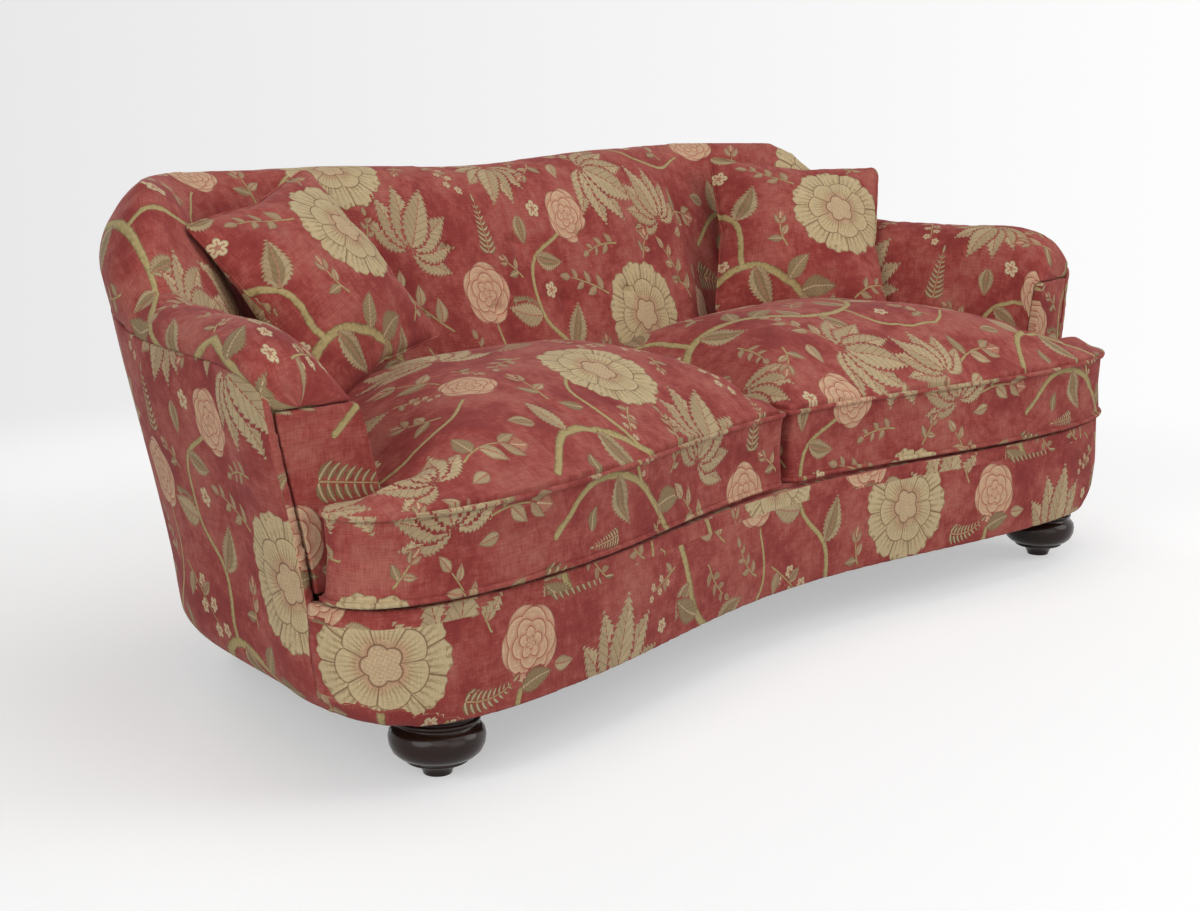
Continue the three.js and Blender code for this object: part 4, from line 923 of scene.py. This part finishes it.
# The border's cloth turns under at the bottom; above its seam it is the deck's cloth, cut from elsewhere
border = {
    "seam": 0.263, "onSeam": 1e-5, "turnUnder": 0.2, "shift": (0.37, -0.11),
    "start": (-0.001, -0.42),     # a little off the middle, where two vertices would be equally near
}
piece = upholster("frontBorder", ["front_border"], pads["front_border"])
frontLoop = evenLoop(outlineAt(piece.data, border["turnUnder"], border["start"]), 0.012)
shape = bmesh.new()
shape.from_mesh(piece.data)
bmesh.ops.bisect_plane(shape, geom=shape.verts[:] + shape.edges[:] + shape.faces[:],
                       dist=border["onSeam"], plane_co=(0, 0, border["seam"]), plane_no=(0, 0, 1))
shape.to_mesh(piece.data)
shape.free()
shade(piece.data)
places = vertexPlaces(piece.data)
run, out = runRound(frontLoop, places)
below = border["turnUnder"] - places[:, 2]
rise = np.where(below > 0, border["turnUnder"] - np.hypot(below, out), places[:, 2])
clothAt = np.stack([run, rise + bandRise], axis=1)
above = vectorsOf(piece.data.polygons, "center")[:, 2] > border["seam"]
printOn(piece.data, [(~above, clothAt), (above, clothAt + border["shift"])])
finishPiece(piece, "sofa_frame", printedLinen, ["front_border"])

# Seat cushions: the two halves of a T, with crowned tops, drawn-in boxing and self-covered piping
seat = {
    "voxel": 0.01, "easing": 11, "crispFade": 0.02, "sewn": 0.003, "sewnFade": 0.07, "slack": 0.012,
    "cap": 0.014, "fill": 0.85, "topWelt": 0.427, "bottomWelt": 0.301,
    "weltRadius": 0.0046, "weltTuck": 0.0012, "weltStep": 0.007, "topPrint": 1.047,
}


def pipingRound(name, loop, height, radius, tuck):
    facts = lineFacts(np.vstack([loop[-1:], loop, loop[:1]]))
    outward = facts["outward"][1:-1]
    middle = loop.mean(axis=0)
    if ((loop - middle) * outward).sum() < 0:
        outward = -outward
    line = bpy.data.curves.new(name, "CURVE")
    line.dimensions = "3D"
    line.bevel_depth = radius
    line.bevel_resolution = 2
    spline = line.splines.new("POLY")
    spline.points.add(len(loop) - 1)
    for point, spot in zip(spline.points, loop + outward * (radius - tuck)):
        point.co = (*spot, height, 1)
    spline.use_cyclic_u = True
    source = meshObject(name + "Line", line)
    mesh = finalMesh(source)
    bpy.data.objects.remove(source)
    shade(mesh)
    return meshObject(name, mesh)


def seatCushion(hand, side):
    node = f"{hand}_seat_cushion"
    piece = upholster(hand + "SeatCushion", [node], seat)
    mesh = piece.data
    places = vertexPlaces(mesh)
    middle = (seat["topWelt"] + seat["bottomWelt"]) / 2
    loop = evenLoop(outlineAt(mesh, middle, (side * 0.02, -0.42)), 0.012)
    heights = vectorsOf(mesh.polygons, "center")[:, 2]
    boxing = (heights < seat["topWelt"]) & (heights > seat["bottomWelt"])
    top = places[:, :2] + (0, seat["topPrint"])
    printOn(mesh, [(boxing, roundBand(loop, places)), (~boxing, top)])
    finishPiece(piece, f"{hand}_cushion", printedLinen, [node])
    for level, height in (("top", seat["topWelt"]), ("bottom", seat["bottomWelt"])):
        edge = evenLoop(outlineAt(mesh, height, (side * 0.02, -0.42)), seat["weltStep"], 2)
        name = f"{hand}Seat{level.capitalize()}Welt"
        welt = pipingRound(name, edge, height, seat["weltRadius"], seat["weltTuck"])
        printAll(welt.data, roundBand(edge, vertexPlaces(welt.data)))
        finishPiece(welt, f"{hand}_cushion", printedPiping, [f"{hand}_seat_{level}_welt"])


for hand, side in hands:
    seatCushion(hand, side)

# Scatter pillows
pillow = {
    "voxel": 0.0062, "easing": 6, "crispFade": 0.012, "sewn": 0.002, "sewnFade": 0.04, "slack": 0.02,
    "cap": 0.016, "fill": 0.7, "cordRadius": 0.0024, "cordTuck": 0.0008, "cordStep": 0.006,
    "middles": {"left": (-0.6023, 0.1739, 0.6715), "right": (0.7504, 0.1292, 0.6524)},
    "turns": {"left": (9, 37.5, -14), "right": (-38, 33, 5)},
    "printAt": (0.24, 0.36), "printBehind": (0.9, 0.1),
}


def scatterPillow(hand, side):
    node = f"{hand}_pillow"
    piece = upholster(hand + "Pillow", [node], pillow)
    turn, lean, roll = (math.radians(angle) for angle in pillow["turns"][hand])
    # laid flat, face up, it is printed and its rim is taken
    upright = Matrix.Rotation(turn, 4, "Z") @ Matrix.Rotation(-lean, 4, "X") @ Matrix.Rotation(roll, 4, "Y")
    back = Matrix.Translation(pillow["middles"][hand]) @ upright @ Matrix.Rotation(math.pi / 2, 4, "X")
    piece.data.transform(back.inverted())
    front = vectorsOf(piece.data.polygons, "normal")[:, 2] > 0
    face = vertexPlaces(piece.data)[:, :2]
    printOn(piece.data, [(front, face + pillow["printAt"]), (~front, face * (-1, 1) + pillow["printBehind"])])
    rim = evenLoop(outlineAt(piece.data, 0, (0, -0.2)), pillow["cordStep"], 1)
    cord = pipingRound(f"{hand}PillowCord", rim, 0, pillow["cordRadius"], pillow["cordTuck"])
    printAll(cord.data, vertexPlaces(cord.data)[:, :2] + pillow["printAt"])
    for part in (piece, cord):
        part.data.transform(back)
    finishPiece(piece, f"{hand}_scatter_pillow", printedLinen, [node])
    finishPiece(cord, f"{hand}_scatter_pillow", printedPiping, [f"{hand}_pillow_welt"])


for hand, side in hands:
    scatterPillow(hand, side)

# Bun feet: turned hardwood, dark lacquer that gives small bright highlights
lacquer = {
    "surface": {"Roughness": 0.2, "Specular IOR Level": 0.22, "Coat Weight": 0.08, "Coat Roughness": 0.05},
    "colors": ("#20140f", "#301d17"), "ripple": 0.04, "rippleDepth": 0.0005,
}
foot = {
    "profile": [(0, 0), (0.0215, 0), (0.0225, 0.0012), (0.0228, 0.004), (0.031, 0.02), (0.0465, 0.0208),
                (0.049, 0.0225), (0.049, 0.0255), (0.0475, 0.0268), (0.0505, 0.0275), (0.06, 0.031),
                (0.0685, 0.039), (0.0733, 0.05), (0.0745, 0.0615), (0.0725, 0.0705), (0.067, 0.0772),
                (0.0615, 0.0805), (0.0615, 0.084), (0.066, 0.0858), (0.0668, 0.0885), (0.0655, 0.091),
                (0.062, 0.0918), (0.062, 0.0945), (0.0655, 0.096), (0.066, 0.099), (0.0645, 0.1012),
                (0.058, 0.102), (0.058, 0.106), (0, 0.106)],
    "steps": 72,
}


lacqueredLook, tree, shader, grain = grained("espresso lacquered hardwood", lacquer["surface"],
                                              lacquer["colors"], (30, 30, 240), 4)
ripple = addNode(tree, "ShaderNodeBump", {"Height": grain, "Strength": lacquer["ripple"],
                                          "Distance": lacquer["rippleDepth"]})
tree.links.new(ripple.outputs[0], shader.inputs["Normal"])
for end in ("front", "back"):
    for hand, side in hands:
        node = f"{end}_{hand}_foot"
        low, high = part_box(node)
        shape = bmesh.new()
        points = [shape.verts.new((radius, 0, height)) for radius, height in foot["profile"]]
        edges = [shape.edges.new(pair) for pair in zip(points, points[1:])]
        bmesh.ops.spin(shape, geom=points + edges, axis=(0, 0, 1), cent=(0, 0, 0), angle=math.tau,
                       steps=foot["steps"], use_merge=True)
        bmesh.ops.remove_doubles(shape, verts=shape.verts, dist=weld)
        bmesh.ops.translate(shape, verts=shape.verts, vec=((low.x + high.x) / 2, (low.y + high.y) / 2, low.z))
        piece = objectFromBmesh(f"{end}{hand.capitalize()}Foot", shape)
        finishPiece(piece, "sofa_frame", lacqueredLook, [node])
print("feet turned")

# Inner pieces: sawn beech, matt with a fine grain, and spring steel, oiled and so unevenly shiny
beech = grained("sawn beech", {"Roughness": 0.7}, ("#cdae80", "#a67f4e"), (6, 60, 60), 6)[0]
steel, tree, shader = newMaterial("oiled spring steel", {"Metallic": 1, "Base Color": linearColor("#6a6f73")})
spot = addNode(tree, "ShaderNodeTexCoord").outputs["Object"]
smear = addNode(tree, "ShaderNodeTexNoise", {"Vector": spot, "Scale": 90, "Detail": 3})
shine = addNode(tree, "ShaderNodeMapRange", {0: smear.outputs["Fac"], 3: 0.3, 4: 0.5})
tree.links.new(shine.outputs[0], shader.inputs["Roughness"])
slotLooks = {"timber": beech, "spring_steel": steel, "piping": plainLinen}
for part in frame["record"]["subparts"]:
    if part["material_slot"] in slotLooks:
        solid = nodes[part["node"]].data
        solid.materials.clear()
        solid.materials.append(slotLooks[part["material_slot"]])

# Linings: the deck under the cushions and the black cloth under the frame
dustCloth = grained("black woven dust cloth", {"Roughness": 0.95}, ("#1f1e1e", "#383736"), [700] * 3, 2)[0]
linings = {
    "dust_cover": ("dustCover", "dust_cloth", dustCloth),
    "seat_deck": ("seatDeck", "upholstery", plainLinen),
}
for node, (name, slot, finish) in linings.items():
    piece = objectFromBmesh(name, shapeOfNodes([node]), smooth=False)
    finishPiece(piece, "sofa_frame", finish, [node])

# Floor and light: a plain sweep of pale backdrop, a little brighter to the right, and soft lamps
studio = {
    "surface": {"Base Color": linearColor("#d6d6d6"), "Emission Color": (1, 1, 1, 1), "Roughness": 0.9,
                "Specular IOR Level": 0.1},
    "floorShare": 0.45, "nearby": (1.45, 2.8),
    "tone": (0.815, 0.985), "skyLight": 0.1, "halfView": 0.28, "size": 2.8,
    "lights": [("leftLow", (-4.0, -0.8, 1.6), 58), ("cameraSide", (-2.9, -2.9, 2.0), 22),
               ("frontHigh", (0.2, -2.8, 3.6), 14), ("frontLow", (-0.6, -4.0, 0.9), 20),
               ("frontRight", (2.4, -3.2, 2.2), 51), ("above", (0.2, -0.4, 3.8), 38),
               ("rear", (0.4, 3.8, 1.5), 60), ("rearRight", (3.8, 1.6, 1.4), 24)],
}
rightward = (math.cos(camera["yaw"]), -math.sin(camera["yaw"]), 0)


# Brightness of the backdrop in one direction from the camera's place, 1 for rays that show it directly,
# and the strength that it shines with: full for those rays, little for the ones that light the object
def backdropNodes(tree, direction):
    aim = addNode(tree, "ShaderNodeVectorMath", {0: direction}, operation="NORMALIZE")
    turn = addNode(tree, "ShaderNodeVectorMath", {0: aim.outputs[0], 1: rightward}, operation="DOT_PRODUCT")
    left, right = studio["tone"]
    tone = addNode(tree, "ShaderNodeMapRange", {0: turn.outputs["Value"], 1: -studio["halfView"],
                                                2: studio["halfView"], 3: left, 4: right}).outputs[0]
    path = addNode(tree, "ShaderNodeLightPath").outputs
    through = path["Is Camera Ray"]
    for ray in ("Is Glossy Ray", "Is Transmission Ray"):
        through = addNode(tree, "ShaderNodeMath", {0: through, 1: path[ray]}, operation="MAXIMUM").outputs[0]
    power = addNode(tree, "ShaderNodeMapRange", {0: through, 3: studio["skyLight"], 4: 1})
    strength = addNode(tree, "ShaderNodeMath", {0: power.outputs[0], 1: tone}, operation="MULTIPLY")
    return tone, through, strength.outputs[0]


shape = bmesh.new()
bmesh.ops.create_grid(shape, x_segments=1, y_segments=1, size=60)
floor = objectFromBmesh("floor", shape)
look, tree, shader = newMaterial("pale studio floor", studio["surface"])
place = addNode(tree, "ShaderNodeTexCoord").outputs["Object"]
fromEye = addNode(tree, "ShaderNodeVectorMath", {0: place, 1: camera["place"]}, operation="SUBTRACT")
tone, through, strength = backdropNodes(tree, fromEye.outputs[0])
lift = addNode(tree, "ShaderNodeMath", {0: tone, 1: studio["floorShare"]}, operation="MULTIPLY")
shown = addNode(tree, "ShaderNodeMath", {0: lift.outputs[0], 1: through}, operation="MULTIPLY")
tree.links.new(shown.outputs[0], shader.inputs["Emission Strength"])
away = addNode(tree, "ShaderNodeEmission", {"Strength": strength})
distance = addNode(tree, "ShaderNodeVectorMath", {0: place}, operation="LENGTH")
near, far = studio["nearby"]
fade = addNode(tree, "ShaderNodeMapRange", {0: distance.outputs["Value"], 1: near, 2: far},
               interpolation_type="SMOOTHSTEP")
blend = addNode(tree, "ShaderNodeMixShader", {0: fade.outputs[0], 1: shader.outputs[0], 2: away.outputs[0]})
output = next(node for node in tree.nodes if node.type == "OUTPUT_MATERIAL")
tree.links.new(blend.outputs[0], output.inputs[0])
floor.data.materials.append(look)
world = bpy.data.worlds.new("studio")
scene.world = world
world.use_nodes = True
tree = world.node_tree
tree.nodes.clear()
_, _, strength = backdropNodes(tree, addNode(tree, "ShaderNodeTexCoord").outputs["Generated"])
sky = addNode(tree, "ShaderNodeBackground", {"Strength": strength, "Color": (1, 1, 1, 1)})
addNode(tree, "ShaderNodeOutputWorld", {"Surface": sky.outputs[0]})
for name, place, watts in studio["lights"]:
    lamp = bpy.data.lights.new(name, "AREA")
    lamp.shape = "DISK"
    lamp.size = studio["size"]
    lamp.energy = watts
    holder = bpy.data.objects.new(name, lamp)
    holder.location = place
    holder.rotation_euler = (Vector((0, 0, 0.4)) - Vector(place)).to_track_quat("-Z", "Y").to_euler()
    scene.collection.objects.link(holder)
